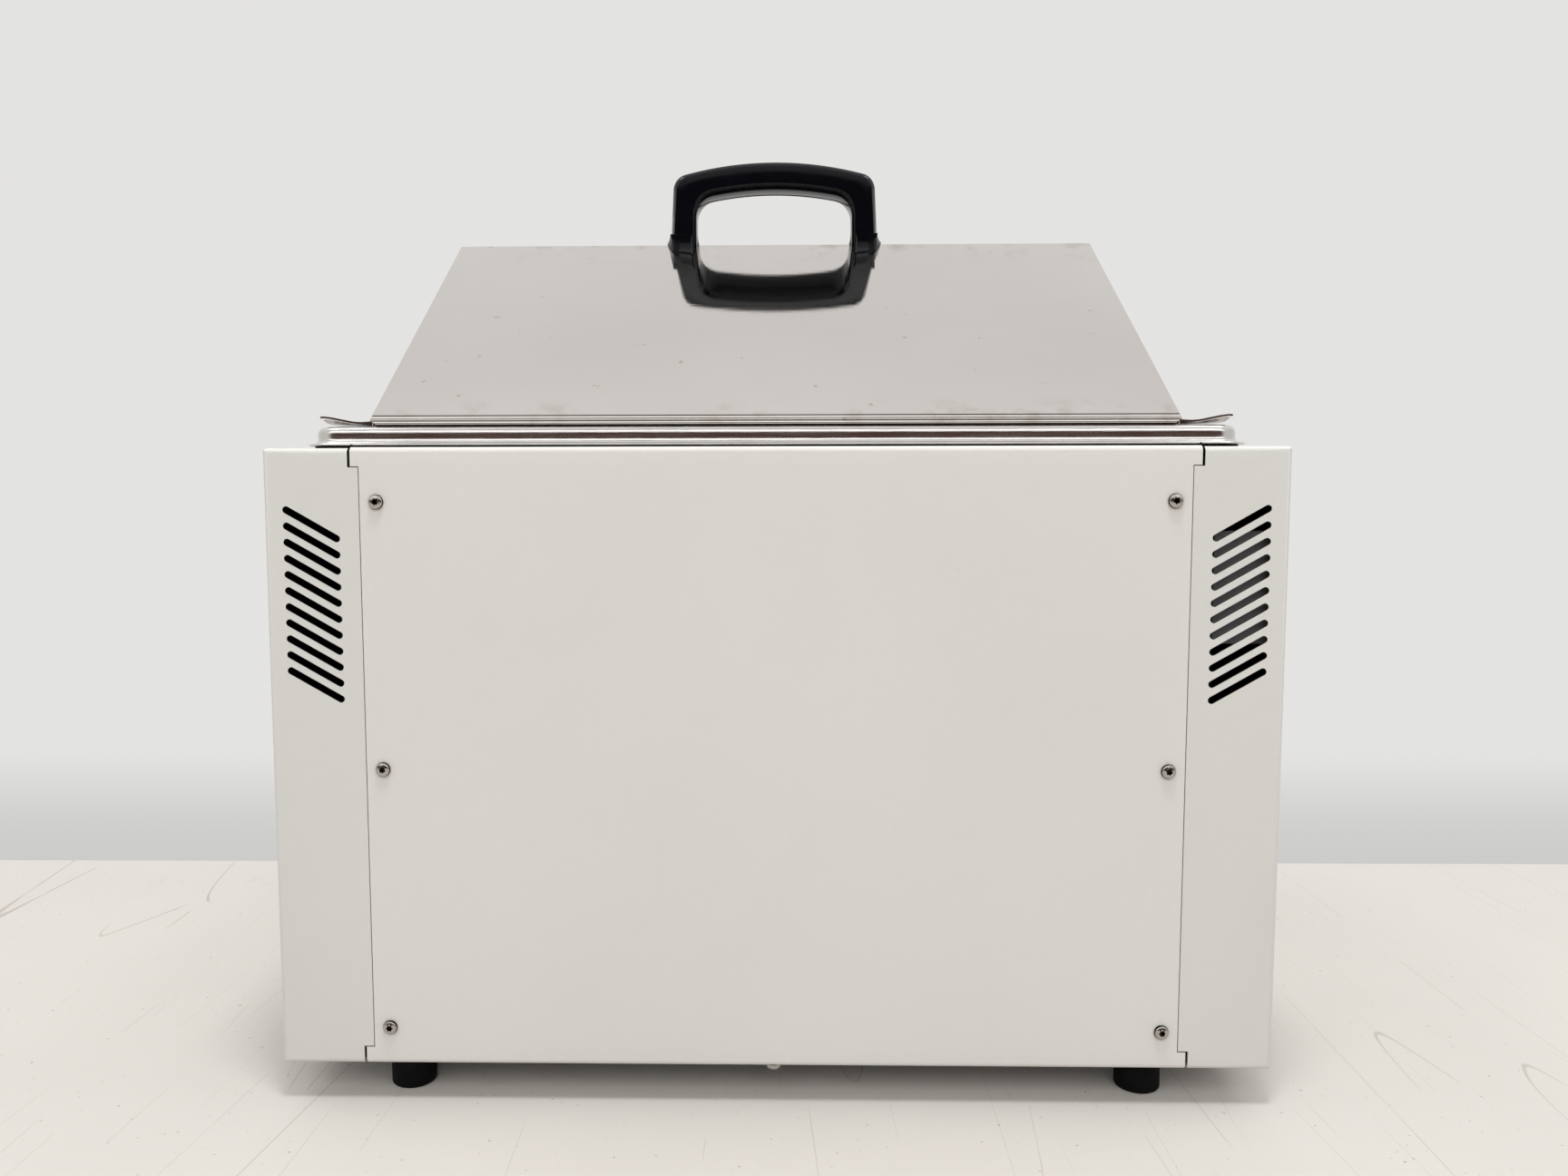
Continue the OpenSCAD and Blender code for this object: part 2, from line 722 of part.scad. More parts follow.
module tank() color([0.8, 0.79, 0.77]) place() {
    difference() {
        union() {
            along_z(tank_under, rim_top - tank_wall/2) tank_outline(tank_wall);
            along_z(rim_top - tank_wall, rim_top)
                round_rect([-rim_x + rim_band, rim_y0 + rim_band], [rim_x - rim_band, rim_y1 - rim_band],
                    rim_r - rim_band);
            rim_ring();
        }
        along_z(tank_floor, rim_top + 1) tank_outline(0);
        for (y = heater_ends) bar_z(gland_x, y, tank_under - 1, tank_floor + 1, gland_r + fixed_play);
        bar_z(outlet_x, outlet_y, tank_under - 1, tank_floor + 1, tail_r + fixed_play);
        for (x = probe_xs)
            bar_y(x, tank_y1 - 1, tank_y1 + 2*tank_wall + 1, probe_z, probe_gland_r + fixed_play);
    }
}

// Outline of the rim's lip, grown by g
module lip_outline(g) round_rect([-rim_x - rim_lip - g, rim_y0 - rim_lip - g],
    [rim_x + rim_lip + g, rim_y1 + rim_lip + g], rim_r + rim_lip + g);

module seal_band() difference() {
    lip_outline(-seal_inset);
    lip_outline(-seal_inset - seal_w);
}

module rim_seal() color([0.05, 0.05, 0.05]) place() {
    along_z(body_h, lip_z) seal_band();
    along_z(cover_h, body_h) intersection() {
        seal_band();
        both_sides() translate([tab_x + tab_gap, 0]) square([side_x - tab_x - tab_gap, body_d]);
    }
}

module tank_insulation() color([0.1, 0.1, 0.1]) place() difference() {
    along_z(tank_under, ring_z) tank_outline(tank_wall + insulation_t);
    along_z(tank_under - 1, ring_z + 1) tank_outline(tank_wall);
    for (x = probe_xs) bar_y(x, tank_y1, tank_y1 + 3*insulation_t, probe_z, probe_nut_r + 1);
}

module floor_insulation() color([0.1, 0.1, 0.1]) place() difference() {
    along_z(tank_under - insulation_t, tank_under) tank_outline(tank_wall + insulation_t);
    for (y = heater_ends) bar_z(gland_x, y, 0, tank_floor, gland_nut_r + 1);
    bar_z(outlet_x, outlet_y, 0, tank_floor, outlet_nut_r + 1);
}

// Quarter or half ring of round bar about a vertical axis
module ring_z_arc(x, y, z, ring_r, r, a0, sweep)
    translate([x, y, z]) rotate([0, 0, a0]) rotate_extrude(angle = sweep) translate([ring_r, 0]) circle(r);

module heater() color([0.55, 0.54, 0.52]) place() {
    for (y = heater_y) bar_x(heater_x0, heater_x1, y, heater_z, heater_r);
    bow = heater_gap/2;
    for (i = [0, 2]) ring_z_arc(heater_x1, heater_y[i] + bow, heater_z, bow, heater_r, -90, 180);
    ring_z_arc(heater_x0, heater_y[1] + bow, heater_z, bow, heater_r, 90, 180);
    for (y = heater_ends) {
        translate([heater_x0, y, heater_z - heater_turn]) rotate([90, 0, 0]) rotate([0, 0, 90])
            rotate_extrude(angle = 90) translate([heater_turn, 0]) circle(heater_r);
        bar_z(gland_x, y, tank_under - insulation_t - heater_tail, heater_z - heater_turn, heater_r);
    }
}

module heater_glands() color([0.72, 0.62, 0.38]) place()
    for (y = heater_ends) difference() {
        union() {
            bar_z(gland_x, y, tank_floor, tank_floor + gland_flange, gland_r + 3);
            bar_z(gland_x, y, tank_under - nut_h - 3, tank_floor, gland_r);
            translate([gland_x, y, tank_under - nut_h]) cylinder(h = nut_h, r = gland_nut_r, $fn = 6);
        }
        bar_z(gland_x, y, 0, tank_floor + gland_flange + 1, heater_r + fixed_play);
    }

module perforated_tray() color([0.8, 0.79, 0.77]) place() difference() {
    union() {
        along_z(tray_z - tray_t, tray_z)
            round_rect([-tray_x, tray_y0], [tray_x, tray_y1], tank_r - tray_gap + 2);
        both_sides() box([tray_x - tray_t, tray_y0 + tank_r, tank_floor + lid_gap],
            [tray_x, tray_y1 - tank_r, tray_z]);
    }
    step_x = 2*(tray_x - tray_edge)/(tray_cols - 1);
    step_y = (tray_y1 - tray_y0 - 2*tray_edge)/(tray_rows - 1);
    for (i = [0:tray_cols - 1], j = [0:tray_rows - 1])
        bar_z(-tray_x + tray_edge + i*step_x, tray_y0 + tray_edge + j*step_y,
            tray_z - 2*tray_t, tray_z + 1, tray_hole_d/2);
}

// Probe lying along Y through the tank's front wall, its tip towards the middle
module wall_probe(x) {
    bar_y(x, tank_y1 - probe_len, tank_y1 + insulation_t + probe_tail, probe_z, probe_r);
    translate([x, tank_y1 - probe_len, probe_z]) sphere(probe_r);
}

module temperature_probe() color([0.7, 0.69, 0.67]) place() wall_probe(probe_xs[0]);

module limiter_bulb() color([0.75, 0.45, 0.3]) place() {
    end_y = tank_y1 + insulation_t + probe_tail + 2*line_r;
    wall_probe(probe_xs[1]);
    bar_y(probe_xs[1], tank_y1, end_y, probe_z, line_r);
    translate([probe_xs[1], end_y, probe_z]) sphere(line_r);
    bar_z(probe_xs[1], end_y, line_z, probe_z, line_r);
    translate([probe_xs[1], end_y, line_z]) sphere(line_r);
    bar_x(knob_x + limiter_w/2, probe_xs[1], end_y, line_z, line_r);
}

module probe_glands() color([0.72, 0.62, 0.38]) place()
    for (x = probe_xs) difference() {
        union() {
            bar_y(x, tank_y1 - gland_flange, tank_y1, probe_z, probe_nut_r);
            bar_y(x, tank_y1, tank_y1 + tank_wall + nut_h, probe_z, probe_gland_r);
            translate([x, tank_y1 + tank_wall + nut_h, probe_z]) rotate([90, 0, 0])
                cylinder(h = nut_h, r = probe_nut_r, $fn = 6);
        }
        bar_y(x, tank_y1 - 2*gland_flange, tank_y1 + 3*nut_h, probe_z, probe_r + fixed_play);
    }

// Over-temperature limiter with its knob
module limiter_body() color([0.15, 0.15, 0.16]) place() difference() {
    union() {
        box([knob_x - limiter_w/2, inner_y - limiter_gap - limiter_depth, control_z - limiter_h/2],
            [knob_x + limiter_w/2, inner_y - limiter_gap, control_z + limiter_h/2]);
        bar_y(knob_x, inner_y - limiter_gap, inner_y, control_z, limiter_neck_r);
    }
    bar_y(knob_x, inner_y - shaft_in, inner_y + 1, control_z, shaft_r + running_play);
}

module limiter_shaft() color([0.62, 0.6, 0.57]) place()
    bar_y(knob_x, inner_y - shaft_in + running_play, body_d + knob_h - shaft_short, control_z, shaft_r);

module limiter_knob() color([0.08, 0.08, 0.09]) place() difference() {
    union() {
        translate([knob_x, body_d + loose_gap, control_z]) rotate([-90, 0, 0])
            rotate_extrude() polygon(concat(
                [[0, 0], [knob_d/2, 0], [knob_d/2, 3], [knob_d/2 - 3, 4]],
                arc([knob_d/2 - 5, knob_h - 2], 2, 0, 90, 4),
                [[0, knob_h]]));
        box([knob_x - pointer_w/2, body_d + knob_h - 1, control_z],
            [knob_x + pointer_w/2, body_d + knob_h + loose_gap + pointer_h, control_z + knob_d/2 - 4]);
    }
    bar_y(knob_x, body_d, body_d + knob_h - shaft_short, control_z, shaft_r + fixed_play);
}

// Mains switch
module switch_housing() color([0.05, 0.05, 0.06]) place() difference() {
    w = switch_half_w - switch_frame;
    h = switch_half_h - switch_frame;
    pin = switch_half_w - rocker_pin_in;
    union() {
        box([rocker_x - switch_w/2, body_d, control_z - switch_h/2],
            [rocker_x + switch_w/2, body_d + 2, control_z + switch_h/2]);
        box([rocker_x - switch_half_w, inner_y - switch_depth, control_z - switch_half_h],
            [rocker_x + switch_half_w, body_d + 1, control_z + switch_half_h]);
    }
    box([rocker_x - w, inner_y - switch_well, control_z - h], [rocker_x + w, body_d + 3, control_z + h]);
    bar_x(rocker_x - pin, rocker_x + pin, rocker_pin_y, control_z, rocker_pin_r + running_play);
}

module power_rocker() color([0.5, 0.1, 0.08]) place() {
    w = switch_half_w - switch_frame - loose_gap;
    h = switch_half_h - switch_frame - 1;
    pin = switch_half_w - rocker_pin_in - running_play;
    along_x(rocker_x - w, rocker_x + w)
        polygon([[body_d - 4, control_z - 6], [body_d - 4, control_z + 6], [body_d, control_z + h - 0.5],
            [body_d + 3.4, control_z + h - 0.8], [body_d + 1.2, control_z], [body_d - 1, control_z - h + 0.2],
            [body_d - 2.5, control_z - h + 1]]);
    bar_x(rocker_x - pin, rocker_x + pin, rocker_pin_y, control_z, rocker_pin_r);
}

// Controller
module control_board() color([0.1, 0.35, 0.2]) place()
    box([label_x - board_w/2, board_y - board_t, control_z - board_h/2],
        [label_x + board_w/2, board_y, control_z + board_h/2]);

module board_spacers() color([0.72, 0.62, 0.38]) place()
    for (x = [-1, 1], z = [-1, 1])
        bar_y(label_x + x*(board_w/2 - spacer_in), board_y, inner_y, control_z + z*(board_h/2 - spacer_in),
            spacer_r);

module key_switches() color([0.12, 0.12, 0.13]) place()
    for (x = key_xs) {
        r = dome_w/2;
        tip_y = inner_y - loose_gap - key_rim - key_travel - loose_gap;
        box([x - r, board_y, control_z - r], [x + r, inner_y - dome_gap, control_z + r]);
        bar_y(x, inner_y - dome_gap, tip_y, control_z, r/2);
    }

module display_module() color([0.07, 0.08, 0.08]) place()
    box([window_x - window_w/2 - 2, board_y, control_z - window_h/2 - 2],
        [window_x + window_w/2 + 2, inner_y, control_z + window_h/2 + 2]);

module display_window() color([0.1, 0.11, 0.12]) place()
    box([window_x - window_w/2 + fixed_play, inner_y, control_z - window_h/2 + fixed_play],
        [window_x + window_w/2 - fixed_play, body_d, control_z + window_h/2 - fixed_play]);

module control_label() color([0.2, 0.27, 0.36]) place() difference() {
    along_y(body_d, body_d + label_t) round_rect(
        [label_x - label_w/2, control_z - label_h/2],
        [label_x + label_w/2, control_z + label_h/2], 4);
    box([window_x - window_w/2 + 1, body_d - 1, control_z - window_h/2 + 1],
        [window_x + window_w/2 - 1, body_d + 2, control_z + window_h/2 - 1]);
    for (x = key_xs) bar_y(x, body_d - 1, body_d + 2, control_z, key_d/2 + loose_gap);
}

// Key cap with a rim that holds it behind the panel
module key_cap(x) {
    translate([x, body_d, control_z]) rotate([-90, 0, 0]) rotate_extrude() polygon(concat(
        [[0, -sheet - loose_gap - key_rim], [key_d/2 + key_lip, -sheet - loose_gap - key_rim],
            [key_d/2 + key_lip, -sheet - loose_gap], [key_d/2, -sheet - loose_gap]],
        arc([key_d/2 - 1, key_out - 1], 1, 0, 90, 4),
        [[0, key_out]]));
}
module key_set() color([0.75, 0.76, 0.78]) place() key_cap(key_xs[0]);
module key_up() color([0.75, 0.76, 0.78]) place() key_cap(key_xs[1]);
module key_down() color([0.75, 0.76, 0.78]) place() key_cap(key_xs[2]);

// Block centred on x = y = 0 from its half width, half depth and top
module block(size, z0) box([-size[0], -size[1], z0], size);

// Electrical pieces in the bay under the tank
module transformer() color([0.3, 0.3, 0.32]) place() translate([transformer_x, transformer_y, base_top]) {
    block(transformer_foot, 0);
    block(transformer_core, transformer_foot[2]);
    block(transformer_coil, coil_z);
}

module terminal_block() color([0.9, 0.9, 0.86]) place() translate([terminal_x, body_d/2, base_top])
    difference() {
        top = terminal_body[2];
        union() {
            block(terminal_base, 0);
            block(terminal_body, terminal_base[2]);
        }
        for (i = [-3:3]) bar_z(0, i*terminal_pitch, top - terminal_hole_h, top + 1, terminal_hole_r);
    }

// Finned plate behind the right-hand vents
module heat_sink() color([0.16, 0.16, 0.17]) place() {
    fin_x = tank_x + tank_wall + insulation_t + 2;
    end_x = side_x - sheet - 3;
    fin_y = sink_y + sink_t;
    box([post_out, sink_y, sink_heights[0]], [end_x, fin_y, sink_heights[1]]);
    for (x = [fin_x:fin_pitch:end_x - fin_t])
        box([x, fin_y, sink_heights[0]], [x + fin_t, fin_y + fin_depth, sink_heights[1]]);
}

module power_triac() color([0.08, 0.08, 0.09]) place()
    box([post_out + 1.5, sink_y + sink_t, triac_heights[0]],
        [post_out + 1.5 + triac_w, sink_y + sink_t + triac_t, triac_heights[1]]);

// Mains inlet with a fuse drawer, mounted from inside the right-hand cover
module inlet_slab(x0, x1, edge) box(
    [side_x + x0, inlet_y - inlet_w/2 - edge, inlet_z - inlet_h/2 - edge],
    [side_x + x1, inlet_y + inlet_w/2 + edge, inlet_z + inlet_h/2 + edge]);
module mains_inlet() color([0.05, 0.05, 0.06]) place() difference() {
    union() {
        inlet_slab(-inlet_depth, 0, 0);
        inlet_slab(-sheet - inlet_flange_t, -sheet, inlet_flange);
    }
    box([side_x - socket_depth, inlet_y - socket_w/2, socket_z - socket_h/2],
        [side_x + 1, inlet_y + socket_w/2, socket_z + socket_h/2]);
    box([side_x - drawer_depth - 1, inlet_y - drawer_w/2 - loose_gap, drawer_z - drawer_h/2 - loose_gap],
        [side_x + 1, inlet_y + drawer_w/2 + loose_gap, drawer_z + drawer_h/2 + loose_gap]);
}

module inlet_pins() color([0.72, 0.62, 0.38]) place()
    for (p = [[-pin_side, -pin_drop], [0, pin_drop], [pin_side, -pin_drop]])
        box([side_x - socket_depth, inlet_y + p[0] - pin_w/2, socket_z + p[1] - pin_h/2],
            [side_x - pin_in, inlet_y + p[0] + pin_w/2, socket_z + p[1] + pin_h/2]);

module fuse_drawer() color([0.1, 0.1, 0.11]) place() difference() {
    box([side_x - drawer_depth, inlet_y - drawer_w/2, drawer_z - drawer_h/2],
        [side_x + 1, inlet_y + drawer_w/2, drawer_z + drawer_h/2]);
    box([side_x - drawer_depth + 2, inlet_y - drawer_w/2 + 1.5, drawer_z - drawer_h/2 + drawer_floor],
        [side_x - 2, inlet_y + drawer_w/2 - 1.5, drawer_z + drawer_h]);
}

module fuses() color([0.8, 0.82, 0.82]) place()
    for (y = [-fuse_side, fuse_side])
        bar_x(side_x - drawer_depth + 2, side_x - drawer_depth + 2 + fuse_len, inlet_y + y,
            drawer_z - drawer_h/2 + drawer_floor + fuse_r, fuse_r);

// Drain: outlet in the tank's floor, hose, cock with a ball and a lever
module drain_outlet() color([0.72, 0.62, 0.38]) place() difference() {
    union() {
        bar_z(outlet_x, outlet_y, tank_floor, tank_floor + gland_flange, outlet_nut_r);
        bar_z(outlet_x, outlet_y, outlet_end, tank_floor, tail_r);
        translate([outlet_x, outlet_y, tank_under - nut_h]) cylinder(h = nut_h, r = outlet_nut_r, $fn = 6);
    }
    bar_z(outlet_x, outlet_y, 0, tank_floor + 10, bore_d/2);
}

// Path of the hose: down from the outlet, round a bend and forward to the cock's tail
module hose_path(r, extra) {
    bar_z(outlet_x, outlet_y, drain_z + hose_bend, outlet_end + hose_grip - 2 + extra, r);
    translate([outlet_x, outlet_y + hose_bend, drain_z + hose_bend]) rotate([0, 90, 0]) rotate([0, 0, 180])
        mirror([0, 1, 0]) rotate([0, 0, -90]) mirror([0, 1, 0])
            rotate_extrude(angle = 90) translate([hose_bend, 0]) circle(r);
    bar_y(outlet_x, outlet_y + hose_bend, tail_y + hose_grip + extra, drain_z, r);
}

module drain_hose() color([0.85, 0.85, 0.82]) place() difference() {
    hose_path(tail_r + hose_wall, 0);
    hose_path(tail_r + fixed_play, 1);
}

module drain_cock() color([0.8, 0.8, 0.8]) place() difference() {
    union() {
        bar_y(drain_x, tail_y, front_y, drain_z, tail_r);
        bar_y(drain_x, front_y - cock_neck_len, front_y, drain_z, cock_neck_r);
        bar_y(drain_x, front_y, front_y + cock_len, drain_z, cock_d/2);
        bar_y(drain_x, front_y + cock_len, nozzle_tip, drain_z, nozzle_d/2);
        bar_z(drain_x, ball_y, drain_z, drain_z + cock_d/2 + stem_boss_h, stem_boss_r);
    }
    bar_y(drain_x, 0, nozzle_tip + 10, drain_z, bore_d/2);
    translate([drain_x, ball_y, drain_z]) sphere(ball_r + running_play);
    bar_z(drain_x, ball_y, drain_z, drain_z + cock_d, stem_r + running_play);
}

module cock_nut() color([0.72, 0.62, 0.38]) place() difference() {
    translate([drain_x, inner_y, drain_z]) rotate([90, 0, 0])
        cylinder(h = cock_nut_h, r = cock_nut_r, $fn = 6);
    bar_y(drain_x, inner_y - 2*cock_nut_h, inner_y + cock_nut_h, drain_z, cock_neck_r + fixed_play);
}

module drain_ball() color([0.7, 0.7, 0.7]) place() difference() {
    union() {
        translate([drain_x, ball_y, drain_z]) sphere(ball_r);
        bar_z(drain_x, ball_y, drain_z, lever_z + 2*lever_boss_h/3, stem_r);
    }
    bar_x(drain_x - cock_d, drain_x + cock_d, ball_y, drain_z, bore_d/2);
}

module drain_lever() color([0.55, 0.08, 0.06]) place() difference() {
    tip_x = drain_x - lever_len + lever_w/2;
    top_z = lever_z + lever_boss_h;
    union() {
        bar_z(drain_x, ball_y, lever_z, top_z, lever_boss_r);
        box([tip_x, ball_y - lever_w/2, top_z - lever_t], [drain_x, ball_y + lever_w/2, top_z]);
        bar_z(tip_x, ball_y, top_z - lever_t, top_z, lever_w/2);
    }
    bar_z(drain_x, ball_y, lever_z - 1, lever_z + 2*lever_boss_h/3, stem_r + fixed_play);
}

// Lid: outline of the gable in (y, z), shrunk by t
module gable(t) {
    lift = t*sqrt(1 + lid_slope*lid_slope);
    foot_z = lid_z - (t > 0 ? 1 : 0);
    polygon([[eave_y0 + t, foot_z], [eave_y0 + t, eave_z + lid_slope*t - lift],
        [ridge_y, ridge_z - lift], [eave_y1 - t, eave_z + lid_slope*t - lift], [eave_y1 - t, foot_z]]);
}

// Side flange lying over the rim, with its two corners turned up
module lid_wing() {
    in_x = lid_x - lid_t/2;
    end_y = eave_y0 + wing_end;
    flat_y = end_y + wing_corner - lid_t;
    box([in_x, flat_y, lid_z], [wing_x, body_d - flat_y, lid_z + lid_t]);
    both_ends() along_y(end_y, end_y + wing_corner) polygon([
        [in_x, lid_z], [lid_x + wing_bend, lid_z], [wing_x, lid_z + wing_up],
        [wing_x, lid_z + wing_up + lid_t], [in_x, lid_z + 2*lid_t]]);
}

module lid_shell() color([0.8, 0.79, 0.77]) place() difference() {
    union() {
        difference() {
            along_x(-lid_x, lid_x) gable(0);
            along_x(-lid_x + lid_t, lid_x - lid_t) gable(lid_t);
        }
        both_ends() {
            bar_x(-lid_x, lid_x, eave_y0 + hem_r - hem_proud, lid_z + hem_r + hem_gap, hem_r);
            bar_x(-lid_x - hem_over, lid_x + hem_over, eave_y0 + hem_r - hem_proud, eave_z - hem_r, hem_r);
        }
        both_sides() lid_wing();
    }
    handle_places() cylinder(h = 3*saddle_h, r = bolt_hole_r, center = true);
}

// The two fixing points of the handle, on the ridge, each with its outer side at +X
module handle_places()
    for (a = [0, 180]) translate([0, ridge_y, ridge_z]) rotate([0, 0, a]) translate([handle_pitch/2, 0, 0])
        children();

// Half of an arch in (x, z): its round corner and then its crown
function arch_half(x, top, big_r, small_r) = let (
    corner_x = x - small_r,
    turn = asin(corner_x/(big_r - small_r)),
    big_z = top - big_r,
    corner_z = big_z + (big_r - small_r)*cos(turn))
    concat(arc([corner_x, corner_z], small_r, 0, 90 - turn, 6), arc([0, big_z], big_r, 90 - turn, 90, 8));
function flip(points) = [for (i = [len(points) - 1:-1:0]) [-points[i][0], points[i][1]]];
function arch(foot_x, foot_z, x, top, big_r, small_r) =
    let (half = concat([[foot_x, foot_z]], arch_half(x, top, big_r, small_r))) concat(half, flip(half));

// Handle outline in (x, z), measured from the middle of the ridge
module handle_outline() {
    leg_out = handle_pitch/2 + leg_w/2;
    leg_in = handle_pitch/2 - leg_w/2;
    difference() {
        polygon(arch(leg_out, -saddle_h, leg_out - shoulder_in, handle_h, crown_r, shoulder_r));
        polygon(arch(leg_in, -saddle_h - 1, leg_in, grip_h, crown_r - (handle_h - grip_h), grip_r));
    }
}

// Collar seen from above, with its front edge nearer to the middle of the handle
function collar_plan() = let (w = collar_out, d = collar_depth/2) [
    [w, 0], [w - 1.5, -0.4*d], [w - 4, -0.75*d], [-collar_skew, -d],
    [-collar_in, 0], [-collar_skew, d], [w - 4, 0.75*d], [w - 1.5, 0.4*d]];

module collar() {
    along_z(-collar_drop, 0) polygon(collar_plan());
    hull() {
        along_z(-0.1, 0) polygon(collar_plan());
        along_z(collar_h - 0.1, collar_h) square([leg_w, handle_depth], center = true);
    }
}

module lid_handle() color([0.02, 0.02, 0.03]) place() difference() {
    union() {
        translate([0, 0, ridge_z]) along_y(ridge_y - handle_depth/2, ridge_y + handle_depth/2)
            handle_outline();
        handle_places() collar();
    }
    along_x(-lid_x, lid_x) gable(0);
    box([-lid_x, 0, 0], [lid_x, body_d, ridge_z - collar_drop]);
    handle_places() translate([0, 0, -saddle_h]) cylinder(h = 2*saddle_h, r = bolt_hole_r);
}

// Wedges that fill the ridge under the handle's screws
module handle_saddles() color([0.16, 0.16, 0.17]) place() difference() {
    intersection() {
        handle_places() box([-saddle_w/2, -2*saddle_h, -saddle_h], [saddle_w/2, 2*saddle_h, 0]);
        along_x(-lid_x + lid_t, lid_x - lid_t) gable(lid_t);
    }
    handle_places() cylinder(h = 3*saddle_h, r = bolt_hole_r, center = true);
}

module handle_screws() color([0.62, 0.6, 0.57]) place()
    handle_places() translate([0, 0, -saddle_h]) mirror([0, 0, 1])
        pan_screw(bolt_d, bolt_head_d, bolt_head_h, 2*saddle_h - bolt_head_h - 1);

base_plate();
feet();
foot_screws();
frame_uprights();
top_frame();
rear_panel();
front_panel();
left_cover();
right_cover();
rear_screws();
front_screws();
base_screws();
tank();
rim_seal();
tank_insulation();
floor_insulation();
heater();
heater_glands();
perforated_tray();
temperature_probe();
limiter_bulb();
probe_glands();
limiter_body();
limiter_shaft();
limiter_knob();
switch_housing();
power_rocker();
control_board();
board_spacers();
key_switches();
display_module();
display_window();
control_label();
key_set();
key_up();
key_down();
transformer();
terminal_block();
heat_sink();
power_triac();
mains_inlet();
inlet_pins();
fuse_drawer();
fuses();
drain_outlet();
drain_hose();
drain_cock();
cock_nut();
drain_ball();
drain_lever();
lid_shell();
lid_handle();
handle_saddles();
handle_screws();
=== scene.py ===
"""Bench water bath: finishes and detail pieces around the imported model, with its studio and camera."""

import json
import logging
import math
from collections.abc import Callable, Iterable, Sequence
from dataclasses import dataclass
from enum import Enum

import bmesh
import bpy
from bmesh.types import BMEdge, BMesh, BMFace, BMVert
from bpy.types import Material, Node, NodeSocket, Object, World
from mathutils import Matrix, Vector

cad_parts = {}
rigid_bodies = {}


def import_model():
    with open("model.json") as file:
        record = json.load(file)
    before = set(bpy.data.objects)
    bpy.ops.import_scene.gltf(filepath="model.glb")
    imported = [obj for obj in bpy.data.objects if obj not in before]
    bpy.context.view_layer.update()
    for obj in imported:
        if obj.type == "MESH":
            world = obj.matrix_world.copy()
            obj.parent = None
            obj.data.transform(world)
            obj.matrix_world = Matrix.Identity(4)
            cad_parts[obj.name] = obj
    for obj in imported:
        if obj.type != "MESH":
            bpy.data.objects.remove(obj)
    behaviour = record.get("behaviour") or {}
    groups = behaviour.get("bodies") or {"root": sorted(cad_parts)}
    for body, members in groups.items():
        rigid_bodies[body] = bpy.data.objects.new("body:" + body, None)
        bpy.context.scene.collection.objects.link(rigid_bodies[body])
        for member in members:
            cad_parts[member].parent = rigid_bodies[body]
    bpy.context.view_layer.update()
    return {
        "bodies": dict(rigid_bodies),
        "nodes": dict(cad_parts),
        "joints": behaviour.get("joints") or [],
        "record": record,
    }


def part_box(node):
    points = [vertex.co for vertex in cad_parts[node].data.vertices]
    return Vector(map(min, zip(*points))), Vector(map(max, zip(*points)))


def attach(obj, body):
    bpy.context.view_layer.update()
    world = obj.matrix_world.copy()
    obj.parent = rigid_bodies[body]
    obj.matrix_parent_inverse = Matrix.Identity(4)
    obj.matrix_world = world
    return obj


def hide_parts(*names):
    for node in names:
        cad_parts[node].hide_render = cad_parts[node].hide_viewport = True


log = logging.getLogger("water_bath")

MM = 0.001
# Faces marked with this attribute get painted shade: their finish mixes their base colour to the dark tone
# below.
PAINTED_SHADE_MARK = "painted_shade_attribute"
PAINTED_SHADE_TONE = (0.008, 0.008, 0.008)
Pair = tuple[float, float]
Triple = tuple[float, float, float]
Edges = list[BMEdge]
Test = Callable[[Vector, Vector], bool]
EVEN: Triple = (1.0, 1.0, 1.0)


class Side(Enum):
    """Left or right, seen in the photograph."""

    LEFT = -1
    RIGHT = 1


class End(Enum):
    """The plain rear or the control front."""

    REAR = 1
    FRONT = -1


class Mark(Enum):
    """What is printed on a key."""

    SET = "set"
    UP = "up"
    DOWN = "down"


@dataclass(frozen=True)
class Datum:
    """Turns housing millimetres into metres of the shared frame."""

    origin: Vector

    @classmethod
    def from_panel(cls) -> "Datum":
        """Reads the lower rear edge of the housing from the rear panel."""
        low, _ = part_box("rear_panel")
        return cls(Vector((0.0, low.y, low.z)))

    def at(self, x: float, y: float, z: float) -> Vector:
        """Place of a point that is given in housing millimetres."""
        return self.origin + Vector((x, y, z)) * MM

    def back(self, place: Vector) -> Vector:
        """Housing millimetres of a point of the shared frame."""
        return (place - self.origin) / MM

    def matrix(self) -> Matrix:
        """Transform from housing millimetres."""
        return Matrix.Translation(self.origin) @ Matrix.Scale(MM, 4)


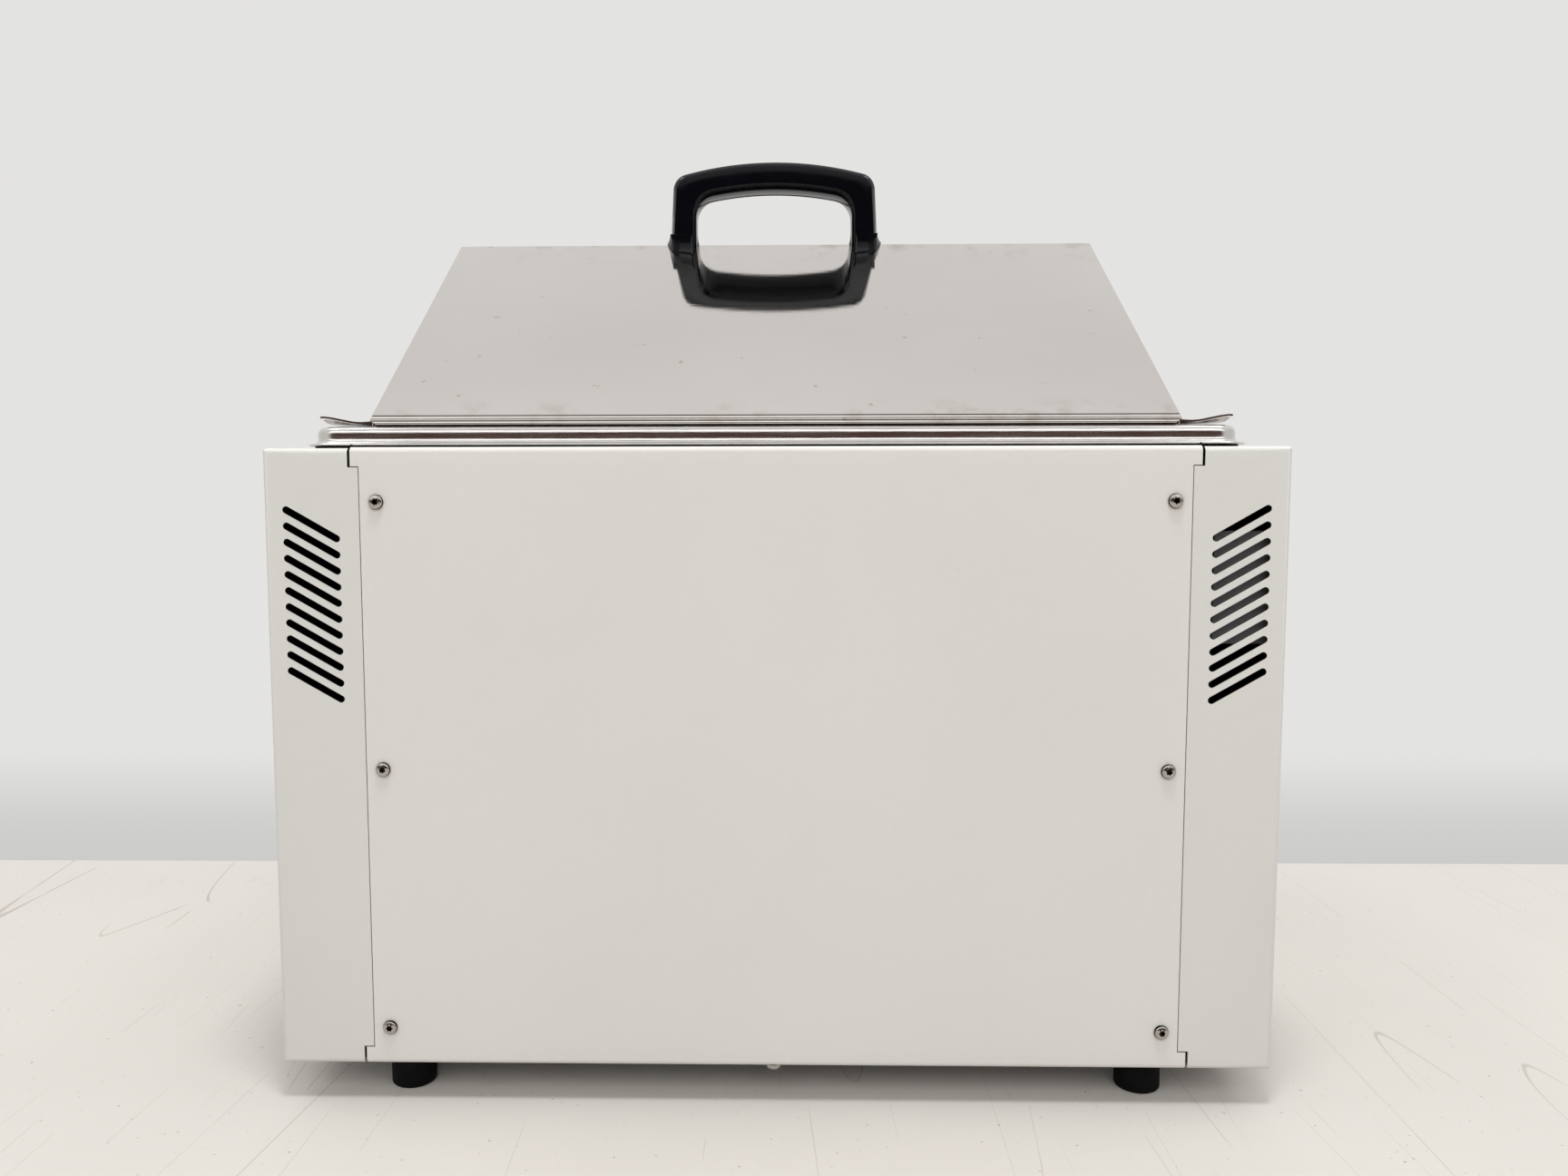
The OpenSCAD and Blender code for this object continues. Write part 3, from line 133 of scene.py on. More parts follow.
class Nodes:
    """Adds and links the nodes of one shader tree."""

    def __init__(self, owner: Material | World) -> None:
        """Empties the owner's tree.

        Args:
            owner: The material or the world.
        """
        owner.use_nodes = True
        self.tree = owner.node_tree
        self.tree.nodes.clear()

    def add(self, kind: str, inputs: dict | None = None, **settings: object) -> Node:
        """Adds a node.

        Args:
            kind: The node's type.
            inputs: Values or output sockets by input name or number.
            **settings: Attributes of the node.

        Returns:
            The new node.
        """
        node = self.tree.nodes.new(f"ShaderNode{kind}")
        for name, value in settings.items():
            setattr(node, name, value)
        for key, value in (inputs or {}).items():
            if isinstance(value, NodeSocket):
                self.tree.links.new(value, node.inputs[key])
            else:
                node.inputs[key].default_value = value
        return node

    def math(self, operation: str, a: object, b: object = 0.0) -> NodeSocket:
        """Result of a calculation with two numbers."""
        return self.add("Math", {0: a, 1: b}, operation=operation).outputs[0]

    def product(self, first: object, *others: object) -> NodeSocket:
        """All the factors multiplied.

        Args:
            first: The first factor, a number or a socket.
            *others: The other factors.

        Returns:
            The product.
        """
        for factor in others:
            first = self.math("MULTIPLY", first, factor)
        return first

    def span(self, value: object, low: float, high: float, to: Pair = (0.0, 1.0)) -> NodeSocket:
        """Maps a number from low to high smoothly onto another range."""
        inputs = {"Value": value, "From Min": low, "From Max": high, "To Min": to[0], "To Max": to[1]}
        return self.add("MapRange", inputs, interpolation_type="SMOOTHSTEP").outputs["Result"]

    def mix(self, share: object, a: object, b: object) -> NodeSocket:
        """Mixes two colours."""
        return self.add("Mix", {0: share, 6: self.colour(a), 7: self.colour(b)}, data_type="RGBA").outputs[2]

    def colour(self, value: object) -> object:
        """Gives a plain colour its fourth number and leaves a socket as it is."""
        return (*value, 1.0) if isinstance(value, tuple) else value

    def noise(self, place: object, scale: float, detail: float = 3.0, rough: float = 0.5) -> NodeSocket:
        """Noise between 0 and 1 at a scale in features per metre."""
        inputs = {"Vector": place, "Scale": scale, "Detail": detail, "Roughness": rough}
        return self.add("TexNoise", inputs).outputs["Fac"]

    def stretch(self, place: object, scale: Triple, turned: float = 0.0) -> NodeSocket:
        """Coordinates scaled along each axis and turned about Z by an angle in degrees."""
        inputs = {"Vector": place, "Scale": scale, "Rotation": (0.0, 0.0, math.radians(turned))}
        return self.add("Mapping", inputs).outputs["Vector"]

    def object_place(self) -> NodeSocket:
        """Coordinates of the object."""
        return self.add("TexCoord").outputs["Object"]

    def rays(self, *kinds: str) -> NodeSocket:
        """1 for rays of the given kinds, 0 for others.

        Args:
            *kinds: Kinds of rays, such as Camera.

        Returns:
            A socket with 1 or 0.
        """
        path = self.add("LightPath").outputs
        found = path[f"Is {kinds[0]} Ray"]
        for kind in kinds[1:]:
            found = self.math("MAXIMUM", found, path[f"Is {kind} Ray"])
        return found


@dataclass(frozen=True)
class Finish:
    """A moulded, painted or turned surface with mottled colour, varied gloss and a fine grain."""

    slot: str
    colour: Triple
    roughness: float = 0.45
    metallic: float = 0.0
    specular: float = 0.5
    mottle: float = 0.05
    mottle_scale: float = 45.0
    rough_spread: float = 0.06
    rough_scale: float = 130.0
    grain: float = 0.02
    grain_scale: float = 1800.0
    grain_stretch: Triple = EVEN

    def material(self) -> Material:
        """Builds the material; faces that carry the shade mark get the dark tone of painted shade.

        Returns:
            The material.
        """
        made = bpy.data.materials.new(self.slot)
        nodes = Nodes(made)
        place = nodes.object_place()
        # Faces marked for painted shade take the dark shade tone as their base colour.
        inside = nodes.add("Attribute", attribute_name=PAINTED_SHADE_MARK).outputs["Fac"]
        shader = nodes.add("BsdfPrincipled", {
            "Base Color": nodes.mix(inside, self.tint(nodes, place), PAINTED_SHADE_TONE),
            "Roughness": self.gloss(nodes, place), "Normal": self.relief(nodes, place),
            "Metallic": self.metallic, "Specular IOR Level": self.specular, **self.extra()})
        nodes.add("OutputMaterial", {"Surface": shader.outputs["BSDF"]})
        made.diffuse_color = (*self.colour, 1.0)
        return made

    def tint(self, nodes: Nodes, place: NodeSocket) -> NodeSocket:
        """Colour of the surface.

        Args:
            nodes: The shader tree.
            place: Coordinates of the surface.

        Returns:
            The colour.
        """
        dark = tuple(c * (1.0 - self.mottle) for c in self.colour)
        light = tuple(min(c * (1.0 + self.mottle), 1.0) for c in self.colour)
        return nodes.mix(nodes.span(nodes.noise(place, self.mottle_scale), 0.3, 0.7), dark, light)

    def gloss(self, nodes: Nodes, place: NodeSocket) -> NodeSocket:
        """Roughness of the surface."""
        low, high = self.roughness - self.rough_spread, self.roughness + self.rough_spread
        return nodes.span(self.worn(nodes, place), 0.3, 0.7, (max(low, 0.02), min(high, 1.0)))

    def worn(self, nodes: Nodes, place: NodeSocket) -> NodeSocket:
        """Where the surface is duller."""
        return nodes.noise(place, self.rough_scale)

    def relief(self, nodes: Nodes, place: NodeSocket) -> NodeSocket:
        """Fine relief of the surface.

        Args:
            nodes: The shader tree.
            place: Coordinates of the surface.

        Returns:
            The bent normal.
        """
        height = nodes.noise(nodes.stretch(place, self.grain_stretch), self.grain_scale)
        inputs = {"Height": height, "Strength": self.grain, "Distance": 0.001}
        return nodes.add("Bump", inputs).outputs["Normal"]

    def extra(self) -> dict:
        """Shader values that only some finishes have."""
        return {}


@dataclass(frozen=True)
class PowderCoat(Finish):
    """Fine-textured powder coat with faint smudges and a few rubbed spots."""

    roughness: float = 0.5
    specular: float = 0.3
    mottle: float = 0.012
    mottle_scale: float = 7.0
    grain: float = 0.10
    grain_scale: float = 1500.0
    smudge: Triple = (0.46, 0.42, 0.37)

    def tint(self, nodes: Nodes, place: NodeSocket) -> NodeSocket:
        """Paint with smudges drawn out sideways.

        Args:
            nodes: The shader tree.
            place: Coordinates of the surface.

        Returns:
            The colour.
        """
        drawn = nodes.stretch(place, (1.0, 1.0, 2.4))
        cloud = nodes.span(nodes.noise(drawn, 4.6, 2.0), 0.60, 0.76)
        streak = nodes.span(nodes.noise(drawn, 95.0, 5.0, 0.65), 0.60, 0.74)
        return nodes.mix(nodes.product(cloud, streak, 0.34), super().tint(nodes, place), self.smudge)


@dataclass(frozen=True)
class Steel(Finish):
    """Bare steel whose rolling or brushing grain runs along one axis."""

    metallic: float = 1.0
    roughness: float = 0.24
    rough_spread: float = 0.07
    mottle: float = 0.03
    grain: float = 0.05
    grain_scale: float = 2600.0
    grain_stretch: Triple = (0.04, 1.0, 1.0)

    def worn(self, nodes: Nodes, place: NodeSocket) -> NodeSocket:
        """Streaks along the grain."""
        return nodes.noise(nodes.stretch(place, self.grain_stretch), 700.0, 2.0)


@dataclass(frozen=True)
class MirrorSheet(Steel):
    """Bright rolled sheet with wipe marks and brownish stains towards its ridge and hems."""

    colour: Triple = (0.66, 0.645, 0.625)
    roughness: float = 0.045
    rough_spread: float = 0.015
    mottle: float = 0.018
    mottle_scale: float = 9.0
    grain: float = 0.012
    grain_scale: float = 900.0
    stain: Triple = (0.40, 0.33, 0.27)
    ridge_z: float = 0.505
    hem_z: float = 0.376

    def tint(self, nodes: Nodes, place: NodeSocket) -> NodeSocket:
        """Steel colour with clouds of stain along the edges and a few small spots.

        Args:
            nodes: The shader tree.
            place: Coordinates of the surface.

        Returns:
            The colour.
        """
        height = nodes.add("SeparateXYZ", {"Vector": place}).outputs["Z"]
        upper = nodes.span(height, self.ridge_z - 0.022, self.ridge_z)
        lower = nodes.span(height, self.hem_z + 0.012, self.hem_z)
        near = nodes.math("MAXIMUM", upper, nodes.product(lower, 0.8))
        cloud = nodes.span(nodes.noise(place, 42.0, 5.0, 0.6), 0.48, 0.70)
        spots = nodes.span(nodes.noise(place, 120.0, 2.0), 0.735, 0.76, (0.0, 0.5))
        marked = nodes.math("MAXIMUM", nodes.product(near, cloud, 0.5), spots)
        return nodes.mix(marked, super().tint(nodes, place), self.stain)


@dataclass(frozen=True)
class Clear(Finish):
    """Glass or tinted acrylic."""

    transmission: float = 1.0
    roughness: float = 0.04
    rough_spread: float = 0.01
    grain: float = 0.002

    def extra(self) -> dict:
        """Lets light through."""
        return {"Transmission Weight": self.transmission, "IOR": 1.5}


@dataclass(frozen=True)
class Phenolic(Finish):
    """Polished black moulding with fine dust and wiping scratches."""

    roughness: float = 0.11
    rough_spread: float = 0.04
    rough_scale: float = 60.0
    mottle: float = 0.2
    dust: Triple = (0.16, 0.18, 0.21)

    def tint(self, nodes: Nodes, place: NodeSocket) -> NodeSocket:
        """Black with small pale flecks.

        Args:
            nodes: The shader tree.
            place: Coordinates of the surface.

        Returns:
            The colour.
        """
        flecks = nodes.span(nodes.noise(place, 900.0, 3.0, 0.7), 0.68, 0.74, (0.0, 0.7))
        patch = nodes.span(nodes.noise(place, 60.0, 2.0), 0.45, 0.62)
        return nodes.mix(nodes.product(flecks, patch), super().tint(nodes, place), self.dust)


@dataclass(frozen=True)
class Glow(Finish):
    """Lit segments of the display."""

    strength: float = 1.4

    def extra(self) -> dict:
        """Makes the segments shine."""
        return {"Emission Color": (*self.colour, 1.0), "Emission Strength": self.strength}


FINISHES: tuple[Finish, ...] = (
    Steel("zinc_plated_steel", (0.60, 0.61, 0.62), roughness=0.42),
    Finish("foot_rubber", (0.0025, 0.0025, 0.0027), roughness=0.7, specular=0.12, grain=0.08),
    Steel("screw_steel", (0.44, 0.415, 0.385), roughness=0.13, rough_spread=0.04, grain_stretch=EVEN),
    PowderCoat("panel_paint", (0.655, 0.642, 0.620)),
    PowderCoat("cover_paint", (0.622, 0.618, 0.592)),
    Steel("tank_steel", (0.70, 0.68, 0.66), roughness=0.15, rough_spread=0.04),
    MirrorSheet("lid_steel"),
    Finish("seal_rubber", (0.008, 0.007, 0.007), roughness=0.7, specular=0.3, grain=0.06),
    Finish("mineral_wool", (0.010, 0.010, 0.010), roughness=0.95, specular=0.1, mottle=0.25, grain=0.9,
           grain_scale=420.0),
    Steel("heater_sheath", (0.36, 0.34, 0.31), roughness=0.38),
    Steel("brass", (0.62, 0.46, 0.20), roughness=0.28, grain_stretch=EVEN),
    Steel("copper", (0.66, 0.33, 0.19), roughness=0.32, grain_stretch=EVEN),
    Finish("black_plastic", (0.018, 0.018, 0.020), roughness=0.42, grain=0.12, grain_scale=1200.0),
    Finish("knob_plastic", (0.016, 0.016, 0.019), roughness=0.36, grain=0.05),
    Finish("rocker_plastic", (0.36, 0.014, 0.010), roughness=0.22),
    Finish("board_laminate", (0.02, 0.13, 0.06), roughness=0.4, grain=0.15, grain_scale=900.0),
    Finish("window_acrylic", (0.006, 0.006, 0.007), roughness=0.07, rough_spread=0.02, grain=0.002),
    Finish("label_film", (0.045, 0.075, 0.125), roughness=0.38, grain=0.05, grain_scale=2400.0),
    Finish("key_plastic", (0.50, 0.52, 0.55), roughness=0.4, grain=0.06),
    Finish("transformer_steel", (0.075, 0.075, 0.085), grain=0.1, grain_stretch=(1.0, 1.0, 0.1)),
    Finish("terminal_plastic", (0.74, 0.73, 0.66), roughness=0.5),
    Finish("sink_aluminium", (0.125, 0.130, 0.130), roughness=0.38, grain=0.05,
           grain_stretch=(1.0, 1.0, 0.05)),
    Clear("fuse_glass", (0.8, 0.82, 0.82)),
    Clear("silicone", (0.85, 0.85, 0.80), transmission=0.3, roughness=0.5),
    Steel("chrome_brass", (0.74, 0.74, 0.75), roughness=0.09, rough_spread=0.03),
    Finish("lever_plastic", (0.32, 0.010, 0.008), roughness=0.3),
    Phenolic("handle_plastic", (0.0012, 0.0018, 0.0034), specular=0.24),
    Finish("print_white", (0.78, 0.79, 0.80), roughness=0.5),
    Finish("print_grey", (0.10, 0.11, 0.12), roughness=0.5),
    Glow("digit_glow", (1.0, 0.09, 0.03)),
)


class Workshop:
    """Makes the pieces, gives them their finish and lets them ride on their bodies."""

    def __init__(self, frame: dict) -> None:
        """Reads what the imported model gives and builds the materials.

        Args:
            frame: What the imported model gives: bodies, nodes, joints and record.
        """
        self.nodes: dict[str, Object] = frame["nodes"]
        self.datum = Datum.from_panel()
        self.palette = {finish.slot: finish.material() for finish in FINISHES}
        record = frame["record"]
        self.slot_of = {part["node"]: part["material_slot"] for part in record["subparts"]}
        bodies = record["behaviour"]["bodies"]
        self.body_of = {node: body for body, held in bodies.items() for node in held}

    def dress_nodes(self) -> None:
        """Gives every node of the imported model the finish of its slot."""
        for name, item in self.nodes.items():
            material = self.palette[self.slot_of[name]]
            if not item.material_slots:
                item.data.materials.append(material)
            for place in item.material_slots:
                place.material = material

    def show(self, bm: BMesh, name: str, body: str, slot: str = "", node: str = "", sharp: float = 32.0,
             look: str = "", placed: bool = False) -> None:
        """Turns a finished bmesh into a piece.

        Args:
            bm: The mesh, which is freed.
            name: Name of the piece.
            body: The body it rides on.
            slot: Its material slot in the record, or an empty word.
            node: The node that it replaces, or an empty word.
            sharp: Edges that turn by more degrees than this stay sharp.
            look: Its finish where that isn't the slot's.
            placed: Whether it is in metres of the shared frame already, not in housing millimetres.
        """
        if not placed:
            bmesh.ops.transform(bm, matrix=self.datum.matrix(), verts=bm.verts)
        for edge in bm.edges:
            edge.smooth = len(edge.link_faces) == 2 and edge.calc_face_angle(0.0) < math.radians(sharp)
        for face in bm.faces:
            face.smooth = True
        mesh = bpy.data.meshes.new(name)
        bm.to_mesh(mesh)
        bm.free()
        mesh.materials.append(self.palette[look or slot])
        item = bpy.data.objects.new(name, mesh)
        bpy.context.scene.collection.objects.link(item)
        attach(item, body)
        if node:
            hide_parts(node)
        log.info("%s: %d faces on %s", name, len(mesh.polygons), body)

    def smooth(self, *nodes: str, inside: Test | None = None, name: str = "") -> None:
        """Stands merged copies in for nodes, so that their folds and rounds shade smoothly.

        Args:
            *nodes: The nodes that are copied.
            inside: Tells from a face's middle in housing millimetres and its normal if it lies in a gap,
                where it gets painted shade.
            name: Name of the new piece where that isn't the node's with an ending.
        """
        for node in nodes:
            bm = bmesh.new()
            bm.from_mesh(self.nodes[node].data)
            bmesh.ops.remove_doubles(bm, verts=bm.verts, dist=2e-6)
            bmesh.ops.dissolve_limit(bm, angle_limit=math.radians(0.4), verts=bm.verts, edges=bm.edges)
            # Faces that the test finds get painted shade.
            if inside:
                mark_recess(bm, lambda face: inside(self.datum.back(face.calc_center_median()), face.normal))
            self.show(bm, name or f"{node}_piece", self.body_of[node], self.slot_of[node], node, placed=True)


def mark_recess(bm: BMesh, test: Callable[[BMFace], bool]) -> None:
    """Marks the faces of a mesh that pass a test, so that their finish paints them dark as painted shade.

    Args:
        bm: The mesh.
        test: Tells whether a face is marked.
    """
    mark = bm.faces.layers.float.new(PAINTED_SHADE_MARK)
    for face in bm.faces:
        face[mark] = float(test(face))


def turned(angle: float, axis: str) -> Matrix:
    """Turn about an axis by an angle in degrees."""
    return Matrix.Rotation(math.radians(angle), 4, axis)


def arc(centre: Pair, radius: float, start: float, end: float, steps: int = 6) -> list[Pair]:
    """Points of an arc in a plane, both ends included.

    Args:
        centre: Its centre.
        radius: Its radius.
        start: Angle of its first point in degrees.
        end: Angle of its last point in degrees.
        steps: Number of straight pieces.

    Returns:
        The points.
    """
    turns = [math.radians(start + (end - start) * i / steps) for i in range(steps + 1)]
    return [(centre[0] + radius * math.cos(t), centre[1] + radius * math.sin(t)) for t in turns]


def chain(bm: BMesh, points: Iterable[Sequence[float]], closed: bool = False) -> Edges:
    """Edges through a row of points, in order, and back to the first where it is closed.

    Args:
        bm: The mesh that gets it.
        points: The points.
        closed: Whether the last point is joined to the first.

    Returns:
        The edges in order.
    """
    verts = [bm.verts.new(p) for p in points]
    pairs = list(zip(verts, verts[1:]))
    if closed:
        pairs.append((verts[-1], verts[0]))
    return [bm.edges.new(pair) for pair in pairs]


def loft(bm: BMesh, rows: Sequence[Edges], closed: bool = False) -> None:
    """Bridges rows of as many edges one after another, and the last to the first where it is closed.

    Args:
        bm: The mesh that holds them.
        rows: Rows with the same number of edges.
        closed: Whether the last row is joined to the first.
    """
    following = [*rows[1:], rows[0]] if closed else rows[1:]
    for row, after in zip(rows, following):
        bmesh.ops.bridge_loops(bm, edges=list(row) + list(after))


def face_outwards(bm: BMesh, merged: float = 0.0) -> None:
    """Turns every face outwards, after merging vertices that are closer than a distance.

    Args:
        bm: The mesh.
        merged: The distance, or 0 to leave the vertices.
    """
    if merged:
        bmesh.ops.remove_doubles(bm, verts=bm.verts, dist=merged)
    bmesh.ops.recalc_face_normals(bm, faces=bm.faces)


def thicken(bm: BMesh, by: float) -> None:
    """Gives a skin its thickness."""
    bmesh.ops.solidify(bm, geom=bm.faces, thickness=by)


def folds(bm: BMesh, angle: float) -> Edges:
    """Edges that turn by more than an angle in degrees."""
    limit = math.radians(angle)
    return [e for e in bm.edges if len(e.link_faces) == 2 and e.calc_face_angle(0.0) > limit]


def bevel(bm: BMesh, geom: list, offset: float, segments: int = 2, affect: str = "EDGES",
          clamp: bool = False) -> None:
    """Rounds edges or corners of a mesh.

    Args:
        bm: The mesh.
        geom: The edges or vertices.
        offset: Width of the rounding.
        segments: Facets of the rounding.
        affect: What is rounded, edges or vertices.
        clamp: Whether roundings stop where they meet.
    """
    bmesh.ops.bevel(bm, geom=geom, offset=offset, segments=segments, profile=0.5, affect=affect,
                    material=-1, clamp_overlap=clamp)


def merge(bm: BMesh, part: BMesh, place: Matrix | None = None) -> None:
    """Adds a part to a mesh at a place and frees it.

    Args:
        bm: The mesh that gets it.
        part: The part.
        place: Where it goes, unless it is there already.
    """
    if place:
        bmesh.ops.transform(part, matrix=place, verts=part.verts)
        if place.to_3x3().determinant() < 0:
            bmesh.ops.reverse_faces(part, faces=part.faces)
    mesh = bpy.data.meshes.new("part")
    part.to_mesh(mesh)
    part.free()
    bm.from_mesh(mesh)
    bpy.data.meshes.remove(mesh)


def turn(profile: Sequence[Pair], steps: int) -> BMesh:
    """Spins a profile of (radius, height) about Z.

    Args:
        profile: Its points from one end of the axis to the other.
        steps: Facets round the axis.

    Returns:
        The turned part.
    """
    part = bmesh.new()
    rows = chain(part, [(r, 0.0, h) for r, h in profile])
    bmesh.ops.spin(part, geom=list(part.verts) + rows, cent=(0, 0, 0), axis=(0, 0, 1), angle=2 * math.pi,
                   steps=steps, use_merge=True, use_duplicate=False)
    face_outwards(part, 1e-4)
    return part


def block(bm: BMesh, low: Sequence[float], high: Sequence[float], round_by: float = 0.0) -> None:
    """Adds a block between two corners, with its edges rounded.

    Args:
        bm: The mesh that gets it.
        low: Its lowest corner.
        high: Its highest corner.
        round_by: Width of the rounding, or 0 for sharp edges.
    """
    part = bmesh.new()
    low, high = Vector(low), Vector(high)
    size = Matrix.Diagonal((*(high - low), 1.0))
    bmesh.ops.create_cube(part, size=1.0, matrix=Matrix.Translation((low + high) / 2) @ size)
    if round_by:
        bevel(part, folds(part, 25.0), round_by, clamp=True)
    merge(bm, part)


def rounded_ring(bm: BMesh, half: Pair, radius: float, middle: Pair, height: float = 0.0) -> BMFace:
    """Rectangle with round corners.

    Args:
        bm: The mesh that gets it.
        half: Half its width and half its depth.
        radius: Radius of its corners.
        middle: Its centre.
        height: Its height.

    Returns:
        Its face.
    """
    place = Matrix.Translation((*middle, height)) @ Matrix.Diagonal((*half, 1.0, 1.0))
    corners = bmesh.ops.create_grid(bm, x_segments=1, y_segments=1, size=1.0, matrix=place)["verts"]
    known = set(bm.faces) - set(corners[0].link_faces)
    bevel(bm, corners, radius, 8, "VERTICES")
    return next(f for f in bm.faces if f not in known)


@dataclass
class Screws:
    """Pan heads with a six-lobed socket."""

    head_r: float = 4.0
    head_h: float = 2.4
    thread_r: float = 2.0
    thread_len: float = 8.0
    socket_r: float = 1.5
    socket_depth: float = 1.3
    lobe: float = 0.17
    dome_r: float = 1.7
    skirt_h: float = 0.6
    land: float = 0.55
    ring_h: float = 1.5
    facets: int = 48

    def ring(self, part: BMesh, radius: float, height: float, lobe: float = 0.0) -> Edges:
        """One ring of the head, round or with six lobes.

        Args:
            part: The screw's mesh.
            radius: Its radius.
            height: Its height.
            lobe: Height of a lobe as a share of the radius.

        Returns:
            Its edges.
        """
        place = Matrix.Translation((0, 0, height))
        made = bmesh.ops.create_circle(part, segments=self.facets, radius=radius, matrix=place)
        for vert in made["verts"]:
            vert.co.xy = vert.co.xy * (1.0 + lobe * math.cos(6 * math.atan2(vert.co.y, vert.co.x)))
        return list({e for v in made["verts"] for e in v.link_edges})

    def dark(self, face: BMFace) -> bool:
        """Tells whether a face lies in the socket or under the head's dome, where it gets painted shade.

        Args:
            face: The face.

        Returns:
            True for such a face.
        """
        middle = face.calc_center_median()
        socket = middle.xy.length < self.socket_r + 0.15 and middle.z < self.head_h - 0.1
        return socket or middle.z < self.ring_h

    def head(self) -> BMesh:
        """One screw along +Z with its head on top.

        Returns:
            Its mesh.
        """
        part = bmesh.new()
        rows = [(self.thread_r, -self.thread_len), (self.thread_r, 0.0), (self.head_r - 0.2, 0.0)]
        rows += arc((self.head_r - self.dome_r, self.skirt_h), self.dome_r, 0, 62, 7)
        rows += [(self.socket_r + self.land, self.head_h - 0.08)]
        rings = [self.ring(part, r, h) for r, h in rows]
        rings += [self.ring(part, r, h, self.lobe) for r, h in (
            (self.socket_r + 0.12, self.head_h), (self.socket_r, self.head_h - 0.15),
            (self.socket_r, self.head_h - self.socket_depth))]
        loft(part, rings)
        bmesh.ops.holes_fill(part, edges=part.edges, sides=self.facets)
        face_outwards(part)
        # The socket and the ring under the dome get painted shade.
        mark_recess(part, self.dark)
        return part

    def build(self, shop: Workshop, name: str, node: str, places: Sequence[Matrix]) -> None:
        """Puts one screw at each place, as one piece that stands for a node.

        Args:
            shop: The workshop, which shows the pieces.
            name: Name of the piece.
            node: The node.
            places: Places of the screws in housing millimetres.
        """
        bm = bmesh.new()
        for place in places:
            merge(bm, self.head(), place)
        shop.show(bm, name, shop.body_of[node], shop.slot_of[node], node, 40.0)


@dataclass
class Housing:
    """Sheet-metal panels, side covers, screws and feet."""

    depth: float = 410.0
    height: float = 338.0
    screw_x: float = 210.5
    screw_low: float = 21.2
    screw_top: float = 29.0
    seam_x: float = 226.0
    tab_top: float = 10.2
    tab_bottom: float = 9.8
    sheet: float = 1.5
    vent_x: float = 264.0
    vent_low: float = 40.0
    vent_top: float = 8.0

    def gap(self, middle: Vector, normal: Vector) -> bool:
        """Tells whether a face of a panel or cover lies in a seam or in a vent slot, or lines a cover; such a
        face gets painted shade.

        Args:
            middle: Middle of the face in housing millimetres.
            normal: Normal of the face.

        Returns:
            True for such a face.
        """
        deep = min(middle.y, self.depth - middle.y)
        cover = abs(middle.x) > self.seam_x
        step = min(abs(middle.z - self.height + self.tab_top), abs(middle.z - self.tab_bottom)) < 1.5
        across = deep > 1.8 and abs(normal.x) > 0.6
        seam = abs(middle.x) < self.seam_x and (across or (step and abs(normal.z) > 0.6))
        vent = cover and -0.1 < deep < self.sheet + 0.1 and abs(normal.y) < 0.4
        vented = abs(middle.x) < self.vent_x and self.vent_low < middle.z < self.height - self.vent_top
        out = Vector((middle.x, (middle.y - self.depth / 2) * 1.3, 0.0))
        lining = cover and deep > self.sheet - 0.1 and out.normalized().dot(normal) < -0.3
        return seam or lining or (vent and vented)

    def behind(self, middle: Vector, normal: Vector) -> bool:
        """Tells whether a face of the inner frame lies close behind a seam, where it gets painted shade."""
        return min(middle.y, self.depth - middle.y) < 8.0 and abs(normal.y) > 0.7

    def build(self, shop: Workshop) -> None:
        """Makes the housing's pieces.

        Args:
            shop: The workshop, which shows the pieces.
        """
        # Seam, slot and lining faces of the panels and covers get painted shade.
        shop.smooth("rear_panel", "front_panel", "left_cover", "right_cover", inside=self.gap)
        shop.smooth("feet", "base_plate", "rim_seal")
        # Inner frame faces close behind the seams get painted shade.
        shop.smooth("top_frame", "frame_uprights", inside=self.behind)
        high = self.height - self.screw_top
        heights = (self.screw_low, (self.screw_low + high) / 2, high)
        spots = [(x, z) for x in (-self.screw_x, self.screw_x) for z in heights]
        for end, y, lean in (("rear", 0.0, 90), ("front", self.depth, -90)):
            places = [Matrix.Translation((x, y, z)) @ turned(lean, "X") @ Matrix.Rotation(0.7 * i, 4, "Z")
                      for i, (x, z) in enumerate(spots)]
            Screws().build(shop, f"{end}_screw_set", f"{end}_screws", places)
        shop.smooth("base_screws", name="base_screw_set")


